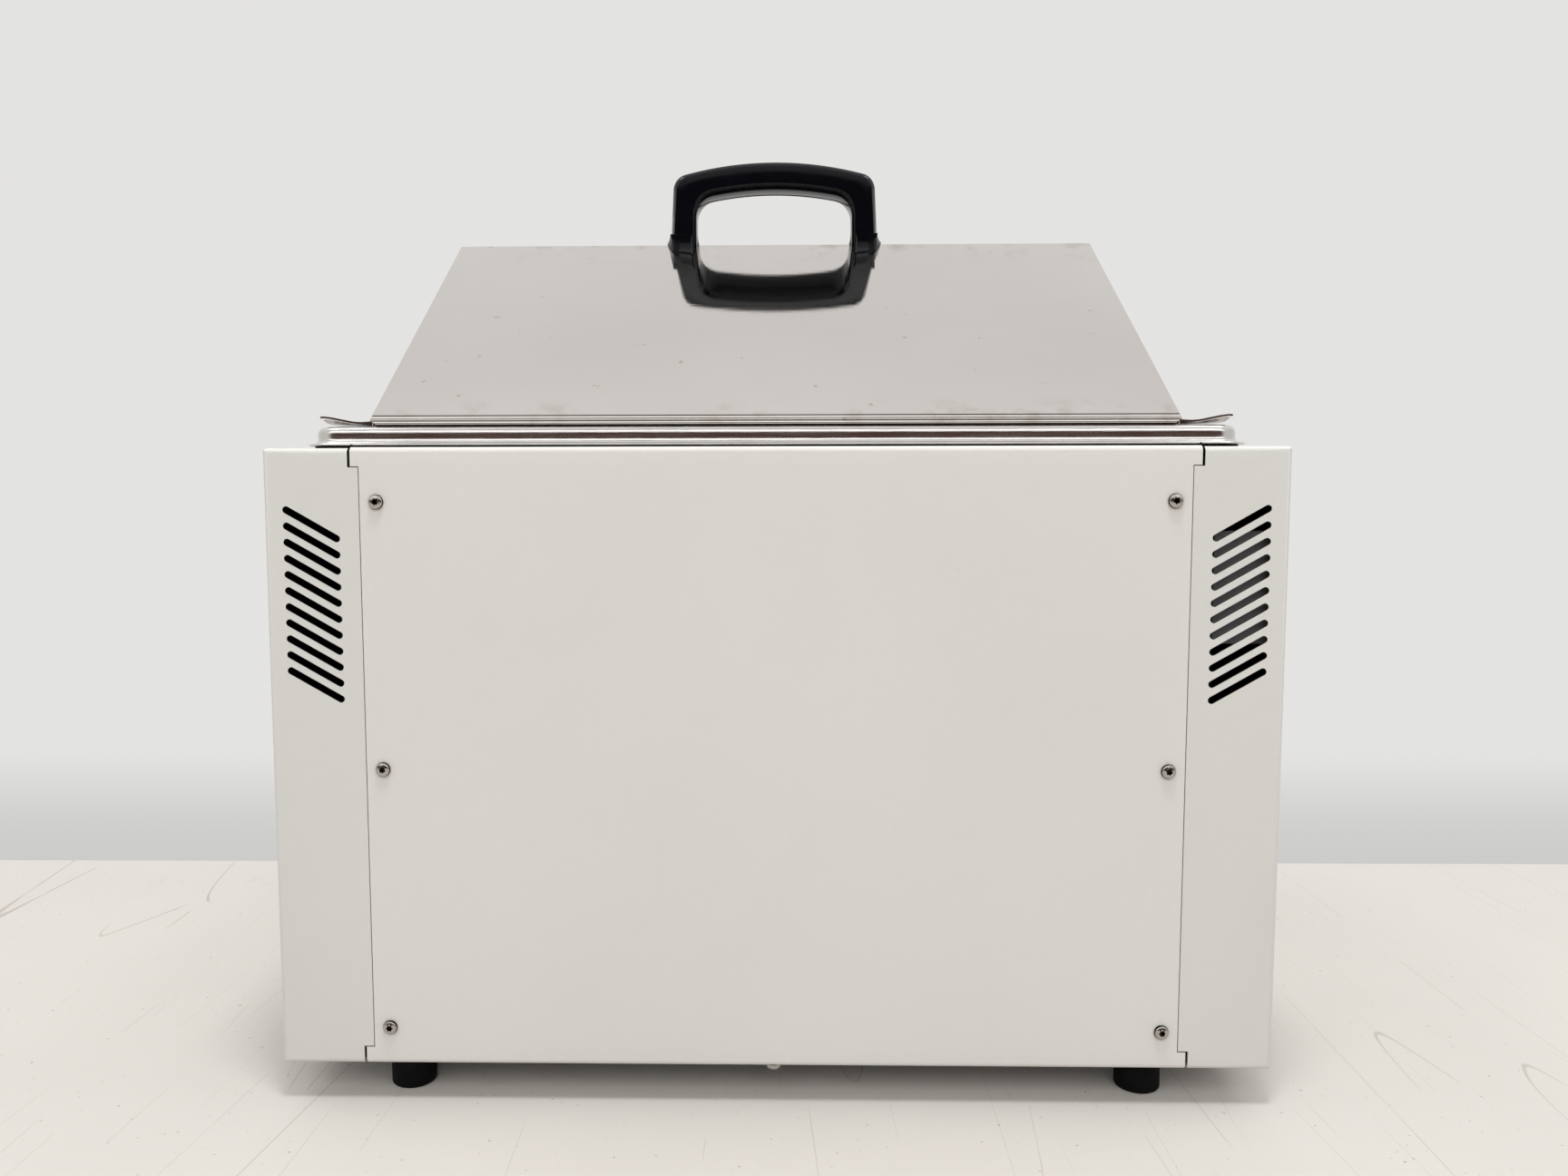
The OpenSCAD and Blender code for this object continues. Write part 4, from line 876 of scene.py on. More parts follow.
@dataclass
class Tank:
    """Drawn tank with its rolled rim and thin lip."""

    middle_y: float = 205.0
    rim_half: Pair = (249.0, 196.0)
    rim_r: float = 16.0
    flat: float = 22.0
    corner_r: float = 25.0
    top: float = 349.3
    floor: float = 149.3
    body_top: float = 338.0
    lip: float = 5.8
    wall: float = 1.0
    floor_r: float = 10.0
    fold_r: float = 3.0
    edge_r: float = 4.0

    def section(self) -> list[Triple]:
        """Outer skin as (distance outside the rim's face, height, corner radius), from lip to floor.

        Returns:
            The rows.
        """
        foot, fold, edge = self.body_top + 2.0, self.fold_r, self.edge_r
        rows = [(self.lip, foot - 0.3), (self.lip - 0.3, foot)]
        rows += arc((fold, foot + fold), fold, 270, 180)
        rows += arc((-edge, self.top - edge), edge, 0, 90, 8)
        inner = arc((-self.flat + fold, self.top - fold), fold, 90, 180, 5)
        inner += [(-self.flat, self.floor + self.floor_r)]
        inner += arc((-self.flat - self.floor_r, self.floor + self.floor_r), self.floor_r, 0, -90)[1:]
        skin = [(u, z, self.rim_r + u) for u, z in rows]
        return skin + [(u, z, max(self.corner_r + self.flat + u, 2.0)) for u, z in inner]

    def build(self, shop: Workshop) -> None:
        """Makes the tank.

        Args:
            shop: The workshop, which shows the pieces.
        """
        bm = bmesh.new()
        rings = []
        for u, z, radius in self.section():
            half = (self.rim_half[0] + u, self.rim_half[1] + u)
            face = rounded_ring(bm, half, radius, (0.0, self.middle_y), z)
            rings.append(list(face.verts))
            last = list(face.edges)
            bmesh.ops.delete(bm, geom=[face], context="FACES_ONLY")
        for ring, after in zip(rings, rings[1:]):
            for i, vert in enumerate(ring):
                bm.faces.new((ring[i - 1], vert, after[i], after[i - 1]))
        bmesh.ops.contextual_create(bm, geom=last)
        face_outwards(bm)
        if max(bm.faces, key=BMFace.calc_area).normal.z < 0:
            bmesh.ops.reverse_faces(bm, faces=bm.faces)
        thicken(bm, self.wall)
        shop.show(bm, "tank_drawing", "housing", "tank_steel", "tank")


@dataclass
class Lid:
    """Gable lid with hemmed eaves and two side flanges whose corners are bent up."""

    half: float = 216.4
    y_rear: float = 13.0
    y_front: float = 397.0
    foot: float = 349.6
    hem: float = 5.4
    rise: float = 129.0
    sheet: float = 1.0
    set_back: float = 0.6
    ridge_r: float = 1.2
    end_r: float = 0.8
    bead_r: float = 1.45
    bead_sunk: float = 0.4
    bead_slant: float = 1.1
    bead_tip: float = 1.0
    tip_drop: float = 0.9
    tip_share: float = 0.2
    # Bands of normal height in which a bead face stays lit; outside them it gets painted shade.
    upper_lit: Pair = (-0.78, 0.88)
    lower_lit: Pair = (-0.42, 0.78)
    flange_x: float = 244.3
    flange_cells: tuple[int, int] = (16, 128)
    flange_lap: float = 0.5
    flange_in: float = 1.0
    rest_lift: float = 0.5
    sag: float = 1.5
    sag_reach: float = 45.0
    curl: tuple[Pair, ...] = ((0.0, 1.7), (6.0, 1.3), (10.6, 1.6), (14.0, 2.3), (18.0, 3.1), (22.0, 3.9),
                              (27.0, 4.5), (29.5, 3.8))
    curl_reach: float = 8.0

    @property
    def ridge(self) -> Vector:
        """Middle of the ridge in housing millimetres."""
        return Vector((0.0, (self.y_rear + self.y_front) / 2, self.foot + self.hem + self.rise))

    def build(self, shop: Workshop) -> None:
        """Makes the lid's pieces.

        Args:
            shop: The workshop, which shows the pieces.
        """
        self.shell(shop)
        self.beads(shop)
        for side in Side:
            self.flange(shop, side)

    def shell(self, shop: Workshop) -> None:
        """Gable of bent sheet, open below.

        Args:
            shop: The workshop, which shows the pieces.
        """
        bm = bmesh.new()
        ridge = self.ridge
        back, front = self.y_rear + self.set_back, self.y_front - self.set_back
        eave = self.foot + self.hem + self.set_back * 0.67
        outline = [(back, self.foot), (back, eave), (ridge.y, ridge.z), (front, eave), (front, self.foot)]
        side = bm.faces.new([bm.verts.new((-self.half, y, z)) for y, z in outline])
        grown = bmesh.ops.extrude_face_region(bm, geom=[side])["geom"]
        moved = [v for v in grown if isinstance(v, BMVert)]
        bmesh.ops.translate(bm, vec=(2 * self.half, 0, 0), verts=moved)
        face_outwards(bm)
        under = [f for f in bm.faces if f.normal.z < -0.9]
        bmesh.ops.delete(bm, geom=under, context="FACES_ONLY")
        bevel(bm, [e for e in bm.edges if all(abs(v.co.z - ridge.z) < 0.1 for v in e.verts)], self.ridge_r, 5)
        ends = [e for e in folds(bm, 60.0) if all(abs(abs(v.co.x) - self.half) < 0.1 for v in e.verts)]
        bevel(bm, ends, self.end_r, 3)
        thicken(bm, self.sheet)
        shop.show(bm, "lid_gable", "lid", "lid_steel", "lid_shell")

    def bead(self, pointed: bool) -> BMesh:
        """One rolled bead along the lid, with pointed ends or with ends cut off at a slant.

        Args:
            pointed: Whether its ends are pointed.

        Returns:
            Its mesh.
        """
        part = bmesh.new()
        bmesh.ops.create_cone(part, cap_ends=True, segments=28, radius1=self.bead_r, radius2=self.bead_r,
                              depth=2 * self.half, matrix=turned(90, "Y"))
        for cap in [f for f in part.faces if len(f.verts) > 4]:
            way = math.copysign(1.0, cap.normal.x)
            if pointed:
                tip = bmesh.ops.extrude_discrete_faces(part, faces=[cap])["faces"][0]
                bmesh.ops.scale(part, vec=(1, self.tip_share, self.tip_share), verts=list(tip.verts))
                bmesh.ops.translate(part, vec=(way * self.bead_tip, 0, -self.tip_drop), verts=list(tip.verts))
                continue
            for vert in cap.verts:
                vert.co.x -= way * (self.bead_r - vert.co.z) * self.bead_slant
        return part

    def shaded(self, face: BMFace) -> bool:
        """Tells whether a face of a bead turns too far up or down to stay in its lit band, so that it gets
        painted shade along the groove beside it.

        Args:
            face: The face.

        Returns:
            True for such a face.
        """
        upper = face.calc_center_median().z > self.foot + self.hem / 2
        low, high = self.upper_lit if upper else self.lower_lit
        return abs(face.normal.x) < 0.1 and not low < face.normal.z < high

    def beads(self, shop: Workshop) -> None:
        """Two rolled beads along each eave, the upper one pointed, with painted shade on their faces outside
        the lit band.

        Args:
            shop: The workshop, which shows the pieces.
        """
        bm = bmesh.new()
        for end in End:
            y = self.y_rear + self.bead_r - self.bead_sunk
            y = y if end is End.REAR else self.y_rear + self.y_front - y
            for z, pointed in ((self.hem - self.bead_r, True), (self.bead_r + 0.05, False)):
                merge(bm, self.bead(pointed), Matrix.Translation((0, y, self.foot + z)))
        # Bead faces outside the lit band get painted shade.
        mark_recess(bm, self.shaded)
        shop.show(bm, "lid_hem_beads", "lid", "lid_steel", sharp=50.0)

    def lift(self, out: float, along: float) -> float:
        """Height of a flange's underside above the lid's foot.

        Args:
            out: Distance outside the lid's end.
            along: Distance from the nearer end of the flange.

        Returns:
            The height in millimetres.
        """
        last = len(self.curl) - 2
        near = next((i for i in range(last + 1) if out <= self.curl[i + 1][0]), last)
        (x0, z0), (x1, z1) = self.curl[near], self.curl[near + 1]
        raised = z0 + (z1 - z0) * min((out - x0) / (x1 - x0), 1.0)
        level = self.rest_lift + self.sag * math.exp(-along / self.sag_reach) * out / self.curl[-1][0]
        return level + (raised - level) * math.exp(-((along / self.curl_reach) ** 2))

    def flange(self, shop: Workshop, side: Side) -> None:
        """Flange over one side of the rim.

        Args:
            shop: The workshop, which shows the pieces.
            side: Which side it is on.
        """
        bm = bmesh.new()
        y0, y1 = self.y_rear + self.flange_in, self.y_front - self.flange_in
        wide = self.flange_x - self.half + self.flange_lap
        middle = Matrix.Translation((self.half - self.flange_lap + wide / 2, (y0 + y1) / 2, 0.0))
        bmesh.ops.create_grid(bm, x_segments=self.flange_cells[0], y_segments=self.flange_cells[1], size=0.5,
                              matrix=middle @ Matrix.Diagonal((wide, y1 - y0, 1.0, 1.0)))
        for vert in bm.verts:
            out = max(vert.co.x - self.half, 0.0)
            vert.co.z = self.foot + self.lift(out, min(vert.co.y - y0, y1 - vert.co.y))
        face_outwards(bm)
        if next(iter(bm.faces)).normal.z > 0:
            bmesh.ops.reverse_faces(bm, faces=bm.faces)
        thicken(bm, self.sheet)
        if side is Side.LEFT:
            bmesh.ops.scale(bm, vec=(-1, 1, 1), verts=bm.verts)
            bmesh.ops.reverse_faces(bm, faces=bm.faces)
        shop.show(bm, f"lid_flange_{side.name.lower()}", "lid", "lid_steel")


@dataclass
class Handle:
    """Bow handle with flat faces, wide bevels and two faceted collars."""

    ridge: Vector
    slope: float = 129.0 / 192.0
    pitch: float = 123.0
    leg: float = 17.4
    depth: float = 22.0
    top: float = 52.8
    crown_r: float = 238.0
    shoulder_r: float = 11.0
    shoulder_in: float = 1.6
    foot_out: float = 0.5
    grip: float = 34.7
    grip_r: float = 14.0
    side_bevel: Pair = (2.5, 2.6)
    inner_bevel: Pair = (2.2, 3.6)
    corner_ease: float = 1.5
    bevel_depth: float = 2.6
    leg_bevel_depth: float = 7.0
    fade: Pair = (22.0, 44.0)
    foot: float = -6.0
    round_by: float = 0.45
    collar_out: float = 11.7
    collar_in: float = 9.6
    collar_depth: float = 26.0
    collar_skew: float = 5.3
    collar_h: float = 4.9
    collar_round: float = 0.3

    def arch(self, foot_x: float, side_x: float, top: float, big: float, small: float) -> list[Pair]:
        """Half an arch and its mirror image, from the right foot to the left foot.

        Args:
            foot_x: Half width at the foot.
            side_x: Half width at the shoulder.
            top: Height of the crown.
            big: Radius of the crown.
            small: Radius of the shoulder.

        Returns:
            The points in (x, z).
        """
        corner = side_x - small
        lean = math.asin(corner / (big - small))
        centre = top - big
        corner_z = centre + (big - small) * math.cos(lean)
        joint = 90.0 - math.degrees(lean)
        half = [(foot_x, self.foot), (foot_x + (side_x - foot_x) * 0.5, corner_z * 0.5)]
        half += arc((corner, corner_z), small, 0, joint, 9)
        half += arc((0.0, centre), big, joint, 90, 14)[1:]
        return half + [(-x, z) for x, z in reversed(half[:-1])]

    def set_in(self, deep: float, z: float) -> float:
        """Depth of a bevel at a height: as given along the legs, no more than the plain one at the crown.

        Args:
            deep: Depth along the legs.
            z: The height.

        Returns:
            The depth there.
        """
        low, high = self.fade
        share = min(max((z - low) / (high - low), 0.0), 1.0)
        return deep + (min(deep, self.bevel_depth) - deep) * share

    def build(self, shop: Workshop) -> None:
        """Makes the bow and its collars.

        Args:
            shop: The workshop, which shows the pieces.
        """
        bm = bmesh.new()
        out, inner = self.pitch / 2 + self.leg / 2, self.pitch / 2 - self.leg / 2
        (sx, sz), (ix, iz) = self.side_bevel, self.inner_bevel
        low_r = self.crown_r - (self.top - self.grip)
        foot, side, ease = out + self.foot_out, out - self.shoulder_in, self.corner_ease
        rows = [
            (self.arch(foot, side, self.top, self.crown_r, self.shoulder_r), self.leg_bevel_depth),
            (self.arch(foot - sx, side - sx, self.top - sz, self.crown_r - sz, self.shoulder_r - ease), 0.0),
            (self.arch(inner + ix, inner + ix, self.grip + iz, low_r + iz, self.grip_r + ease), 0.0),
            (self.arch(inner, inner, self.grip, low_r, self.grip_r), self.bevel_depth)]
        laps = [(*row, -1.0) for row in rows] + [(*row, 1.0) for row in reversed(rows)]
        loft(bm, [chain(bm, [(x, way * (self.depth / 2 - self.set_in(deep, z)), z) for x, z in points])
                  for points, deep, way in laps], closed=True)
        bmesh.ops.holes_fill(bm, edges=bm.edges, sides=8)
        face_outwards(bm, 1e-4)
        bevel(bm, folds(bm, 20.0), self.round_by, clamp=True)
        bmesh.ops.translate(bm, vec=self.ridge, verts=bm.verts)
        shop.show(bm, "handle_bow", "lid", "handle_plastic", "lid_handle", 24.0)
        for side in Side:
            self.collar(shop, side)

    def collar(self, shop: Workshop, side: Side) -> None:
        """Faceted foot of one leg, cut to the lid's slopes below.

        Args:
            shop: The workshop, which shows the pieces.
            side: Which side it is on.
        """
        w, d, skew = self.collar_out, self.collar_depth / 2, -self.collar_skew
        plan = [(w, 0.0), (w - 1.5, -0.4 * d), (w - 4.0, -0.75 * d), (skew, -d), (-self.collar_in, 0.0),
                (skew, d), (w - 4.0, 0.75 * d), (w - 1.5, 0.4 * d)]
        a, b = self.leg / 2 + 0.3, self.depth / 2 + 0.2
        neck = [(a, 0.0), (a, -0.5 * b), (a, -b), (3.0 - a, -b), (-a, 0.0), (3.0 - a, b), (a, b),
                (a, 0.5 * b)]
        bm = bmesh.new()
        cut = [(wide, [-abs(y) * self.slope + up for _, y in plan])
               for wide, up in ((1.03, -0.2), (1.03, 0.9), (1.0, 1.1))]
        cut += [(1.0, [1.3 - abs(y) * 0.05 for _, y in plan])]
        rows = [[(x * wide, y * wide, z) for (x, y), z in zip(plan, heights)] for wide, heights in cut]
        rows += [[(x, y, self.collar_h) for x, y in neck]]
        rings = [chain(bm, row, closed=True) for row in rows]
        loft(bm, rings)
        for ring in (rings[-1], rings[0]):
            bmesh.ops.contextual_create(bm, geom=ring)
        face_outwards(bm, 1e-4)
        bevel(bm, folds(bm, 22.0), self.collar_round, clamp=True)
        place = turned(0 if side is Side.RIGHT else 180, "Z") @ Matrix.Translation((self.pitch / 2, 0, 0))
        bmesh.ops.transform(bm, matrix=Matrix.Translation(self.ridge) @ place, verts=bm.verts)
        shop.show(bm, f"handle_collar_{side.name.lower()}", "lid", "handle_plastic", sharp=20.0)


@dataclass
class Controls:
    """Control label with its display and keys, limiter knob and mains switch."""

    front: float = 410.0
    middle_z: float = 72.0
    label_x: float = 10.0
    label_t: float = 0.5
    label_half: Pair = (81.0, 27.0)
    window: Pair = (66.0, 26.0)
    window_out: float = 34.0
    reading: str = "37.0"
    digit_half: Pair = (4.2, 7.4)
    digit_line: float = 1.0
    digit_pitch: float = 14.5
    first_key: float = -22.0
    key_pitch: float = 22.0
    key_out: float = 2.4
    key_ring: float = 8.4
    knob_x: float = -100.0
    knob_r: float = 14.0
    knob_h: float = 15.0
    knob_gap: float = 0.3
    flutes: int = 22
    ticks: int = 19
    dial: tuple[int, ...] = (30, 50, 70, 90, 110)
    rocker_x: float = -133.0
    ink: float = 0.06

    def outward(self, x: float, out: float) -> Matrix:
        """Matrix from a drawing in x and y to the front, as it is read by someone who faces it."""
        return Matrix(((-1, 0, 0, x), (0, 0, 1, self.front + out), (0, 1, 0, self.middle_z), (0, 0, 0, 1)))

    def build(self, shop: Workshop) -> None:
        """Makes the pieces on the front.

        Args:
            shop: The workshop, which shows the pieces.
        """
        shop.smooth("control_label", "display_window", "key_set", "key_up", "key_down", "switch_housing",
                    "power_rocker", "limiter_shaft")
        self.print_label(shop)
        self.digits(shop)
        for i, mark in enumerate(Mark):
            self.key_mark(shop, mark, self.label_x + self.first_key - i * self.key_pitch)
        self.knob(shop)
        self.scale(shop)
        self.rocker_marks(shop)

    def flat(self, shop: Workshop, bm: BMesh, name: str, body: str, x: float, out: float,
             look: str) -> None:
        """Shows a thin drawing on a plane of the front.

        Args:
            shop: The workshop.
            bm: The drawing, which is freed.
            name: Name of the piece.
            body: The body it rides on.
            x: Its place along the front.
            out: How far it lies in front of the panel.
            look: Its finish.
        """
        bmesh.ops.transform(bm, matrix=self.outward(x, out), verts=bm.verts)
        face_outwards(bm)
        shop.show(bm, name, body, look=look)

    def frame_line(self, bm: BMesh, half: Pair, middle: Pair, width: float, radius: float) -> None:
        """Adds a thin line round a rectangle.

        Args:
            bm: The mesh that gets it.
            half: Half its width and half its height.
            middle: Its centre.
            width: Width of the line.
            radius: Radius of its corners.
        """
        part = bmesh.new()
        face = rounded_ring(part, half, radius, middle)
        bmesh.ops.inset_individual(part, faces=[face], thickness=width)
        bmesh.ops.delete(part, geom=[max(part.faces, key=BMFace.calc_area)], context="FACES_ONLY")
        thicken(part, self.ink)
        merge(bm, part)

    def print_label(self, shop: Workshop) -> None:
        """Printed outline of the label and of its display.

        Args:
            shop: The workshop, which shows the pieces.
        """
        bm = bmesh.new()
        wide, high = self.window
        self.frame_line(bm, self.label_half, (0.0, 0.0), 0.6, 3.0)
        self.frame_line(bm, (wide / 2 + 2.5, high / 2 + 2.5), (-self.window_out, 0.0), 0.5, 2.0)
        for i in range(len(Mark)):
            middle = (-self.first_key + i * self.key_pitch, 0.0)
            self.frame_line(bm, (self.key_ring, self.key_ring), middle, 0.4, self.key_ring - 0.1)
        self.flat(shop, bm, "label_lines", "housing", self.label_x, self.label_t, "print_white")

    def digits(self, shop: Workshop) -> None:
        """Reading of the display in seven segments.

        Args:
            shop: The workshop, which shows the pieces.
        """
        strokes = {"a": (0, 1, 1), "b": (1, 0.5, 0), "c": (1, -0.5, 0), "d": (0, -1, 1), "e": (-1, -0.5, 0),
                   "f": (-1, 0.5, 0), "g": (0, 0, 1)}
        lit = {"0": "abcdef", "3": "abcdg", "7": "abc"}
        bm = bmesh.new()
        x = -self.window_out - 20.0
        (half_w, half_h), thick = self.digit_half, self.digit_line
        for letter in self.reading:
            if letter == ".":
                block(bm, (x - 8.0, -half_h - thick / 2, 0.0), (x - 6.5, -half_h + thick, 0.08))
                continue
            for across, up, level in (strokes[stroke] for stroke in lit[letter]):
                cx, cy = x + across * half_w, up * half_h
                long, short = (half_w - 0.9, thick / 2) if level else (thick / 2, half_h / 2 - 0.8)
                block(bm, (cx - long, cy - short, 0.0), (cx + long, cy + short, 0.08))
            x += self.digit_pitch
        self.flat(shop, bm, "display_digits", "housing", self.label_x, 0.0, "digit_glow")

    def key_mark(self, shop: Workshop, mark: Mark, x: float) -> None:
        """Ring or arrow on one key.

        Args:
            shop: The workshop, which shows the pieces.
            mark: What the key shows.
            x: Its place along the front.
        """
        bm = bmesh.new()
        if mark is Mark.SET:
            self.frame_line(bm, (2.6, 2.6), (0.0, 0.0), 0.7, 2.55)
        else:
            place = turned(0 if mark is Mark.UP else 180, "Z")
            bmesh.ops.create_circle(bm, cap_ends=True, segments=3, radius=3.2, matrix=place)
            face_outwards(bm)
            thicken(bm, self.ink)
        body = f"{mark.value}_key"
        self.flat(shop, bm, f"{body}_mark", body, x, self.key_out + self.ink, "print_grey")

    def knob(self, shop: Workshop) -> None:
        """Fluted knob with a pointer line.

        Args:
            shop: The workshop, which shows the pieces.
        """
        r, h = self.knob_r, self.knob_h
        profile = [(3.05, 0.0), (r, 0.0), (r, 2.2), (r - 0.8, 3.0), (r - 2.6, 3.4), (r - 3.2, 5.0),
                   (r - 3.6, h - 1.8)]
        profile += arc((r - 5.4, h - 1.8), 1.8, 0, 90, 4)[1:] + [(r - 9.0, h - 0.4), (0.0, h - 0.4)]
        part = turn(profile, self.flutes * 6)
        for vert in part.verts:
            z = vert.co.z
            share = min(max((z - 3.2) / 1.5, 0.0), 1.0) * min(max(h - 0.8 - z, 0.0), 1.0)
            if vert.co.xy.length > r - 6.0:
                wave = 0.5 - 0.5 * math.cos(self.flutes * math.atan2(vert.co.y, vert.co.x))
                vert.co.xy = vert.co.xy * (1.0 - 0.045 * share * wave)
        bm = bmesh.new()
        merge(bm, part, self.outward(self.knob_x, self.knob_gap))
        face_outwards(bm)
        shop.show(bm, "limiter_knob_fluted", "limiter", "knob_plastic", "limiter_knob", 28.0)
        pointer = bmesh.new()
        block(pointer, (-0.7, 1.0, -0.4), (0.7, r - 4.2, 0.25), 0.15)
        self.flat(shop, pointer, "limiter_pointer", "limiter", self.knob_x, self.knob_gap + h, "print_white")

    def scale(self, shop: Workshop) -> None:
        """Ticks and plain numbers round the knob.

        Args:
            shop: The workshop, which shows the pieces.
        """
        bm = bmesh.new()
        foot = self.knob_r + 1.2
        for i in range(self.ticks):
            tick = bmesh.new()
            long = 2.6 if i % 4 == 1 or i == 9 else 1.5
            block(tick, (-0.2, foot, 0.0), (0.2, foot + long, 0.05))
            merge(bm, tick, turned(-15 * i, "Z"))
        for i, number in enumerate(self.dial):
            spot = turned(-60 * i, "Z") @ Vector((0, self.knob_r + 6.8, 0))
            merge(bm, self.lettering(str(number), 4.2), Matrix.Translation(spot))
        self.flat(shop, bm, "limiter_scale", "housing", self.knob_x, 0.02, "print_grey")

    def lettering(self, words: str, size: float) -> BMesh:
        """Numbers of a height in millimetres as a thin mesh centred on the origin.

        Args:
            words: The numbers.
            size: The height.

        Returns:
            The mesh.
        """
        curve = bpy.data.curves.new("numbers", "FONT")
        curve.body, curve.size, curve.extrude = words, size, 0.025
        curve.align_x, curve.align_y, curve.resolution_u = "CENTER", "CENTER", 3
        item = bpy.data.objects.new("numbers", curve)
        bpy.context.scene.collection.objects.link(item)
        mesh = bpy.data.meshes.new_from_object(item.evaluated_get(bpy.context.evaluated_depsgraph_get()))
        part = bmesh.new()
        part.from_mesh(mesh)
        bpy.data.objects.remove(item)
        bpy.data.curves.remove(curve)
        bpy.data.meshes.remove(mesh)
        return part

    def rocker_marks(self, shop: Workshop) -> None:
        """A stroke and a ring beside the mains switch.

        Args:
            shop: The workshop, which shows the pieces.
        """
        bm = bmesh.new()
        block(bm, (-0.3, 18.0, 0.0), (0.3, 21.0, 0.05))
        self.frame_line(bm, (1.6, 1.6), (0.0, -19.6), 0.5, 1.58)
        self.flat(shop, bm, "switch_marks", "housing", self.rocker_x, 0.03, "print_grey")


@dataclass
class Drain:
    """Plated drain cock with a barbed hose nozzle."""

    x: float = 170.0
    z: float = 52.0
    front: float = 410.0
    tail_y: float = 372.0
    tail_r: float = 8.0
    neck_r: float = 9.5
    neck_len: float = 14.0
    body_r: float = 13.5
    body_len: float = 27.0
    nozzle_r: float = 7.0
    nozzle_len: float = 18.0
    barbs: int = 4
    bore_r: float = 5.0
    boss_r: float = 6.0
    boss_h: float = 3.0
    stem_r: float = 3.1

    def build(self, shop: Workshop) -> None:
        """Makes the drain's pieces.

        Args:
            shop: The workshop, which shows the pieces.
        """
        shop.smooth("drain_hose", "drain_outlet", "drain_lever", "drain_ball", "cock_nut")
        tail, neck, front, r = self.tail_y, self.front - self.neck_len, self.front, self.body_r
        mouth = front + self.body_len
        profile = [(self.bore_r, tail), (self.tail_r - 0.5, tail), (self.tail_r, tail + 0.5),
                   (self.tail_r, neck), (self.neck_r, neck), (self.neck_r, front), (r - 0.6, front),
                   (r, front + 0.6), (r, front + 6.0), (r - 0.9, front + 7.2), (r - 0.9, mouth - 7.2),
                   (r, mouth - 6.0), (r, mouth - 0.8), (r - 0.8, mouth)]
        barb = self.nozzle_len / self.barbs
        for i in range(self.barbs):
            start, wide = mouth + i * barb, self.nozzle_r
            profile += [(wide - 1.1, start + 0.2), (wide - 0.05, start + 0.5), (wide, start + 0.9),
                        (wide - 1.0, start + barb - 0.2)]
        profile += [(self.bore_r, mouth + self.nozzle_len), (self.bore_r, tail)]
        stem, wide, low, high = self.stem_r, self.boss_r, r - 2.0, r + self.boss_h
        boss = [(stem, low), (wide, low), (wide, high - 0.5), (wide - 0.5, high), (stem, high), (stem, low)]
        bm = bmesh.new()
        merge(bm, turn(profile, 56), Matrix.Translation((self.x, 0, self.z)) @ turned(-90, "X"))
        merge(bm, turn(boss, 40), Matrix.Translation((self.x, front + self.body_len / 2, self.z)))
        shop.show(bm, "drain_cock_turned", "housing", "chrome_brass", "drain_cock", 30.0)


@dataclass
class Fittings:
    """Pieces inside the tank and the bay that only need smooth shading."""

    rounded: tuple[str, ...] = (
        "heater", "heater_glands", "temperature_probe", "limiter_bulb", "probe_glands", "foot_screws",
        "handle_saddles", "handle_screws", "fuses", "fuse_drawer", "mains_inlet", "inlet_pins",
        "limiter_body", "perforated_tray", "terminal_block", "board_spacers", "tank_insulation",
        "floor_insulation")

    def build(self, shop: Workshop) -> None:
        """Makes the smooth pieces."""
        shop.smooth(*self.rounded)


@dataclass
class Camera:
    """The photograph's camera, in housing millimetres and degrees."""

    place: Triple = (1.703, -619.397, 313.739)
    yaw: float = -1.058
    pitch: float = 4.658
    roll: float = -0.093
    lens: float = 26.924
    shift: float = 0.01852

    def build(self, datum: Datum) -> None:
        """Makes the camera.

        Args:
            datum: Place of the housing in the shared frame.
        """
        yaw, pitch, roll = (math.radians(a) for a in (self.yaw, self.pitch, self.roll))
        forward = Vector((math.sin(yaw) * math.cos(pitch), math.cos(yaw) * math.cos(pitch), -math.sin(pitch)))
        level = forward.cross(Vector((0, 0, 1))).normalized()
        right = level * math.cos(roll) + level.cross(forward) * math.sin(roll)
        pose = Matrix((right, right.cross(forward), -forward)).transposed().to_4x4()
        data = bpy.data.cameras.new("photo_camera")
        data.lens, data.sensor_width, data.shift_x = self.lens, 36.0, self.shift
        data.clip_start, data.clip_end = 0.01, 50.0
        camera = bpy.data.objects.new("photo_camera", data)
        camera.matrix_world = Matrix.Translation(datum.at(*self.place)) @ pose
        bpy.context.scene.collection.objects.link(camera)
        bpy.context.scene.camera = camera


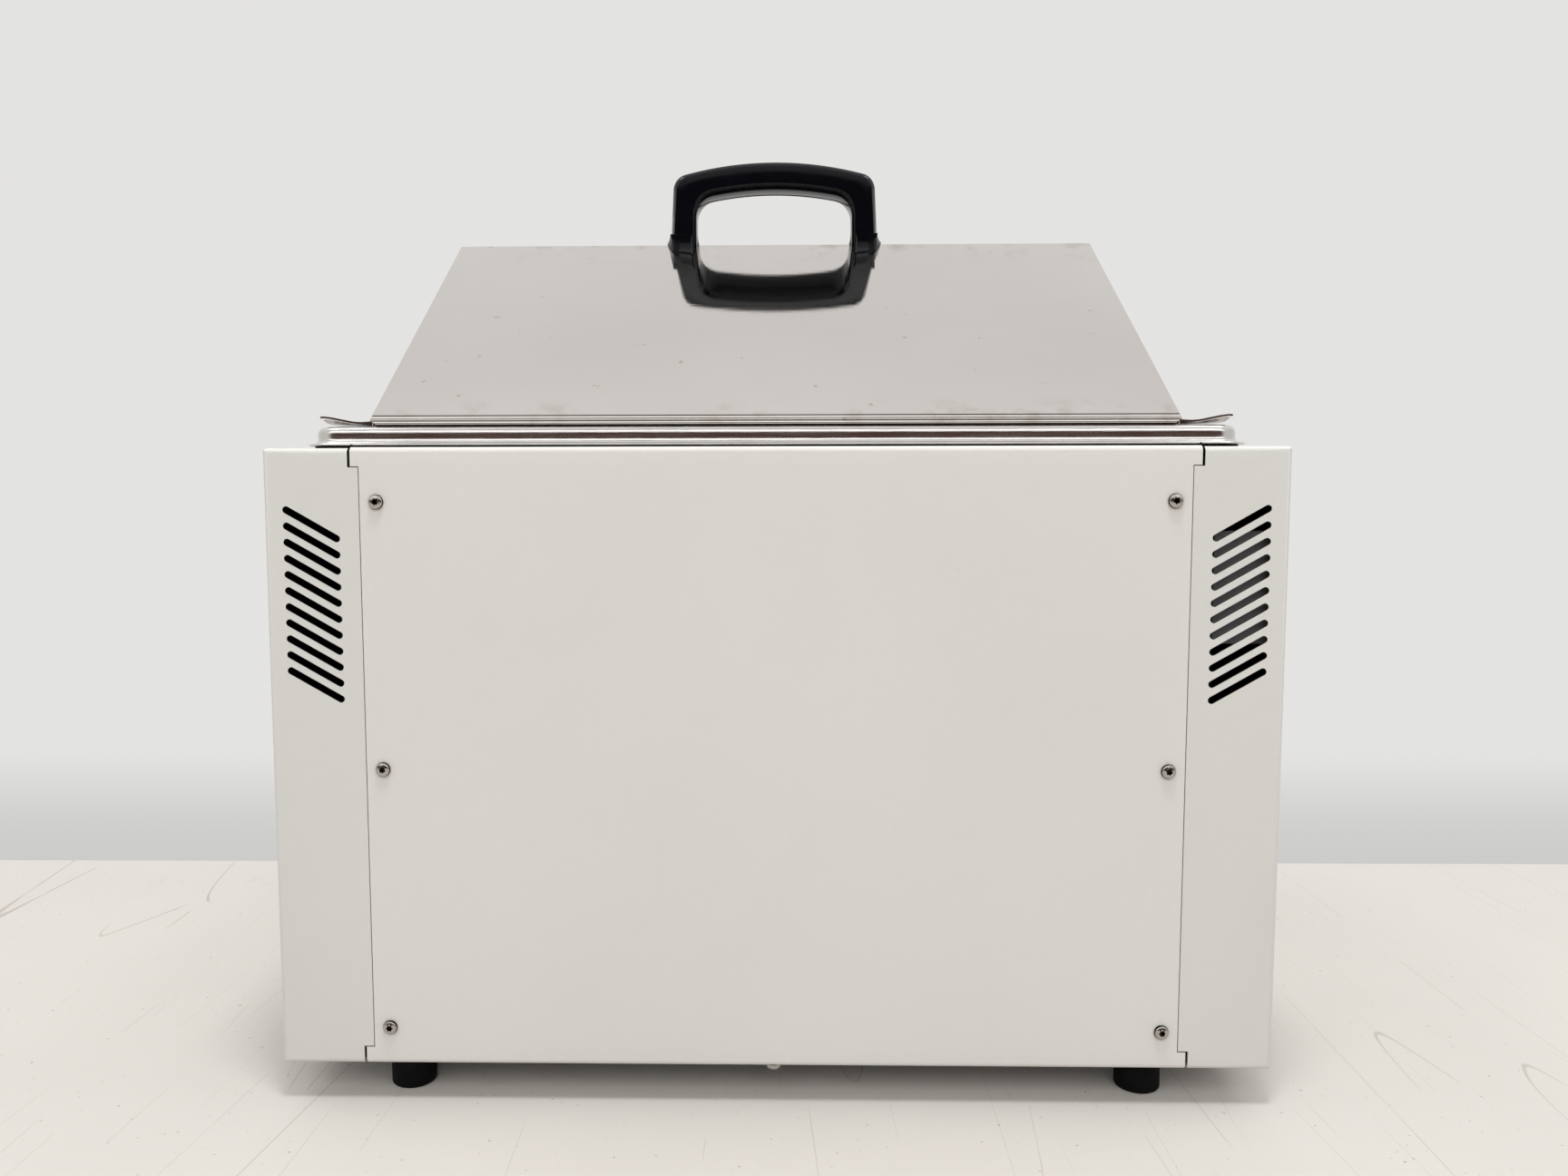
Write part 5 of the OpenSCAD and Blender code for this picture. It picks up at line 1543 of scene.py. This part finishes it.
@dataclass
class Studio:
    """Pale bench, wall colour behind it with painted shade at its foot, and soft light."""

    bench: Triple = (0.555, 0.533, 0.50)
    wall: Triple = (0.775, 0.770, 0.760)
    # Share of the wall colour at its foot: painted shade where the wall meets the bench.
    wall_foot: float = 0.785
    wall_fade: float = 0.5
    sides: Triple = (0.68, 0.67, 0.66)
    ground: Triple = (0.085, 0.050, 0.042)
    room: tuple[tuple[float, float, Triple], ...] = (
        (0.105, 0.125, (0.80, 0.79, 0.78)), (0.125, 0.16, (0.90, 0.89, 0.88)),
        (0.16, 0.18, (1.6, 1.58, 1.55)), (0.30, 0.33, (0.50, 0.50, 0.51)), (0.39, 0.41, (0.86, 0.85, 0.84)),
        (0.50, 0.57, (0.93, 0.91, 0.895)), (0.57, 0.645, (0.905, 0.885, 0.865)),
        (0.645, 0.69, (0.845, 0.815, 0.80)), (0.69, 0.75, (0.84, 0.82, 0.80)),
        (0.75, 1.0, (0.775, 0.770, 0.760)))
    sides_from: Pair = (0.70, 0.95)
    ceiling: Triple = (3.4, 3.4, 3.4)
    ceiling_x: Pair = (0.36, 0.62)
    ceiling_y: Pair = (-0.12, 0.30)
    ceiling_z: Pair = (0.4, 0.5)
    bench_end: tuple[Pair, Pair] = ((-709.7, 418.4), (713.8, 425.6))
    grime: Triple = (0.20, 0.17, 0.145)
    scratches: tuple[tuple[float, float, float, float], ...] = (
        (24.0, 8.0, 0.0005, 0.46), (-41.0, 6.0, 0.0004, 0.46), (66.0, 11.0, 0.0006, 0.40),
        (-8.0, 14.0, 0.0007, 0.34), (100.0, 9.0, 0.0005, 0.34))
    floor_half: float = 6.0
    lamps: tuple[tuple[str, Triple, float, float], ...] = (
        ("overhead", (0.05, -0.62, 2.3), 0.42, 23.0), ("rear_key", (0.1, -2.2, 1.5), 1.3, 11.0),
        ("front_fill", (0.3, 2.6, 1.7), 1.8, 8.0))

    def build(self, datum: Datum) -> None:
        """Makes the floor, the world and the lamps.

        Args:
            datum: Place of the housing in the shared frame.
        """
        self.floor(datum)
        self.world()
        bpy.context.scene.view_settings.view_transform = "Standard"
        for name, place, size, power in self.lamps:
            data = bpy.data.lights.new(name, "AREA")
            data.shape, data.size, data.energy = "DISK", size, power
            lamp = bpy.data.objects.new(name, data)
            aim = (Vector((0, 0, 0.2)) - Vector(place)).to_track_quat("-Z", "Y")
            lamp.matrix_world = Matrix.Translation(place) @ aim.to_matrix().to_4x4()
            lamp.visible_glossy = False
            bpy.context.scene.collection.objects.link(lamp)

    def floor(self, datum: Datum) -> None:
        """Large floor: bench colour up to the bench's end, wall colour beyond it, with painted shade that
        darkens the wall towards the bench.

        Args:
            datum: Place of the housing in the shared frame.
        """
        bm = bmesh.new()
        bmesh.ops.create_grid(bm, x_segments=4, y_segments=4, size=self.floor_half)
        mesh = bpy.data.meshes.new("floor")
        bm.to_mesh(mesh)
        bm.free()
        floor = bpy.data.objects.new("floor", mesh)
        bpy.context.scene.collection.objects.link(floor)
        mesh.materials.append(self.floor_material(datum))

    def floor_material(self, datum: Datum) -> Material:
        """Material of the floor.

        Args:
            datum: Place of the housing in the shared frame.

        Returns:
            The material.
        """
        made = bpy.data.materials.new("bench_top")
        nodes = Nodes(made)
        place = nodes.object_place()
        x, y, _ = nodes.add("SeparateXYZ", {"Vector": place}).outputs
        (x0, y0), (x1, y1) = self.bench_end
        tilt = (y1 - y0) / (x1 - x0)
        level = datum.at(0, y0 - tilt * x0, 0).y
        ahead = nodes.math("SUBTRACT", y, nodes.product(x, tilt))
        beyond = nodes.span(ahead, level - 0.001, level + 0.001)
        # Painted shade: the wall colour darkens towards the bench line and clears over the fade distance.
        far = nodes.span(y, level, level + self.wall_fade)
        shade = nodes.mix(far, tuple(c * self.wall_foot for c in self.wall), self.wall)
        wall = nodes.add("Emission", {"Color": shade, "Strength": 1.0})
        plain = nodes.add("BsdfDiffuse", {"Color": (*self.wall, 1.0)})
        seen = nodes.rays("Camera", "Glossy", "Transmission")
        bench = nodes.add("BsdfPrincipled", {
            "Base Color": self.bench_tint(nodes, place), "Roughness": 0.55, "Specular IOR Level": 0.25})
        back = nodes.add("MixShader", {0: seen, 1: plain.outputs[0], 2: wall.outputs[0]})
        both = nodes.add("MixShader", {0: beyond, 1: bench.outputs[0], 2: back.outputs[0]})
        nodes.add("OutputMaterial", {"Surface": both.outputs[0]})
        return made

    def bench_tint(self, nodes: Nodes, place: NodeSocket) -> NodeSocket:
        """Colour of the bench with its clouds, scratches and specks.

        Args:
            nodes: The shader tree.
            place: Coordinates of the surface.

        Returns:
            The colour.
        """
        cloud = nodes.span(nodes.noise(place, 5.0, 4.0), 0.3, 0.7)
        tint = nodes.mix(cloud, tuple(c * 0.985 for c in self.bench), tuple(c * 1.015 for c in self.bench))
        for angle, size, width, strength in self.scratches:
            line = self.scratch(nodes, place, angle, size, width)
            tint = nodes.mix(nodes.product(line, strength), tint, self.grime)
        speck = nodes.span(nodes.noise(place, 330.0, 1.0), 0.755, 0.775, (0.0, 0.7))
        return nodes.mix(speck, tint, self.grime)

    def scratch(self, nodes: Nodes, place: NodeSocket, angle: float, size: float,
                width: float) -> NodeSocket:
        """Broken fine lines across the bench, where a drawn-out noise crosses its middle.

        Args:
            nodes: The shader tree.
            place: Coordinates.
            angle: Their direction in degrees.
            size: How close together they are.
            width: Their width.

        Returns:
            1 on a line, 0 beside it.
        """
        drawn = nodes.stretch(place, (1.0, 0.06, 1.0), angle)
        off = nodes.math("ABSOLUTE", nodes.math("SUBTRACT", nodes.noise(drawn, size, 0.0), 0.5))
        line = nodes.span(off, width * 2.0, width * 0.5)
        return nodes.product(line, nodes.span(nodes.noise(place, size * 0.9, 1.0), 0.50, 0.56))

    def window(self, nodes: Nodes, value: NodeSocket, low: float, high: float) -> NodeSocket:
        """1 between two numbers, 0 outside them, with a narrow soft edge."""
        return nodes.product(nodes.span(value, low, low + 0.04), nodes.span(value, high, high - 0.04))

    def world(self) -> None:
        """Even light, the wall's colour behind the object and a plain room for reflections."""
        world = bpy.data.worlds.new("studio")
        bpy.context.scene.world = world
        nodes = Nodes(world)
        generated = nodes.add("TexCoord").outputs["Generated"]
        x, y, z = nodes.add("SeparateXYZ", {"Vector": generated}).outputs
        over = nodes.math("DIVIDE", nodes.math("ARCTAN2", z, nodes.product(y, -1.0)), math.pi)
        aside = nodes.math("ABSOLUTE", x)
        room: NodeSocket | Triple = self.ground
        for low, high, colour in self.room:
            room = nodes.mix(nodes.span(over, low, high), room, colour)
        room = nodes.mix(nodes.span(aside, *self.sides_from), room, self.sides)
        lamp = nodes.product(self.window(nodes, aside, *self.ceiling_x),
                             self.window(nodes, y, *self.ceiling_y), nodes.span(z, *self.ceiling_z))
        room = nodes.mix(lamp, room, self.ceiling)
        shown = nodes.mix(nodes.rays("Camera", "Transmission"), room, self.wall)
        back = nodes.add("Background", {"Color": shown, "Strength": 1.0})
        nodes.add("OutputWorld", {"Surface": back.outputs[0]})


def main() -> None:
    """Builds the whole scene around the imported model."""
    logging.basicConfig(level=logging.INFO, format="%(message)s")
    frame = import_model()
    shop = Workshop(frame)
    Camera().build(shop.datum)
    Studio().build(shop.datum)
    shop.dress_nodes()
    lid = Lid()
    for assembly in (Housing(), Tank(), lid, Handle(lid.ridge), Controls(), Drain(), Fittings()):
        assembly.build(shop)


if __name__ == "__main__":
    main()
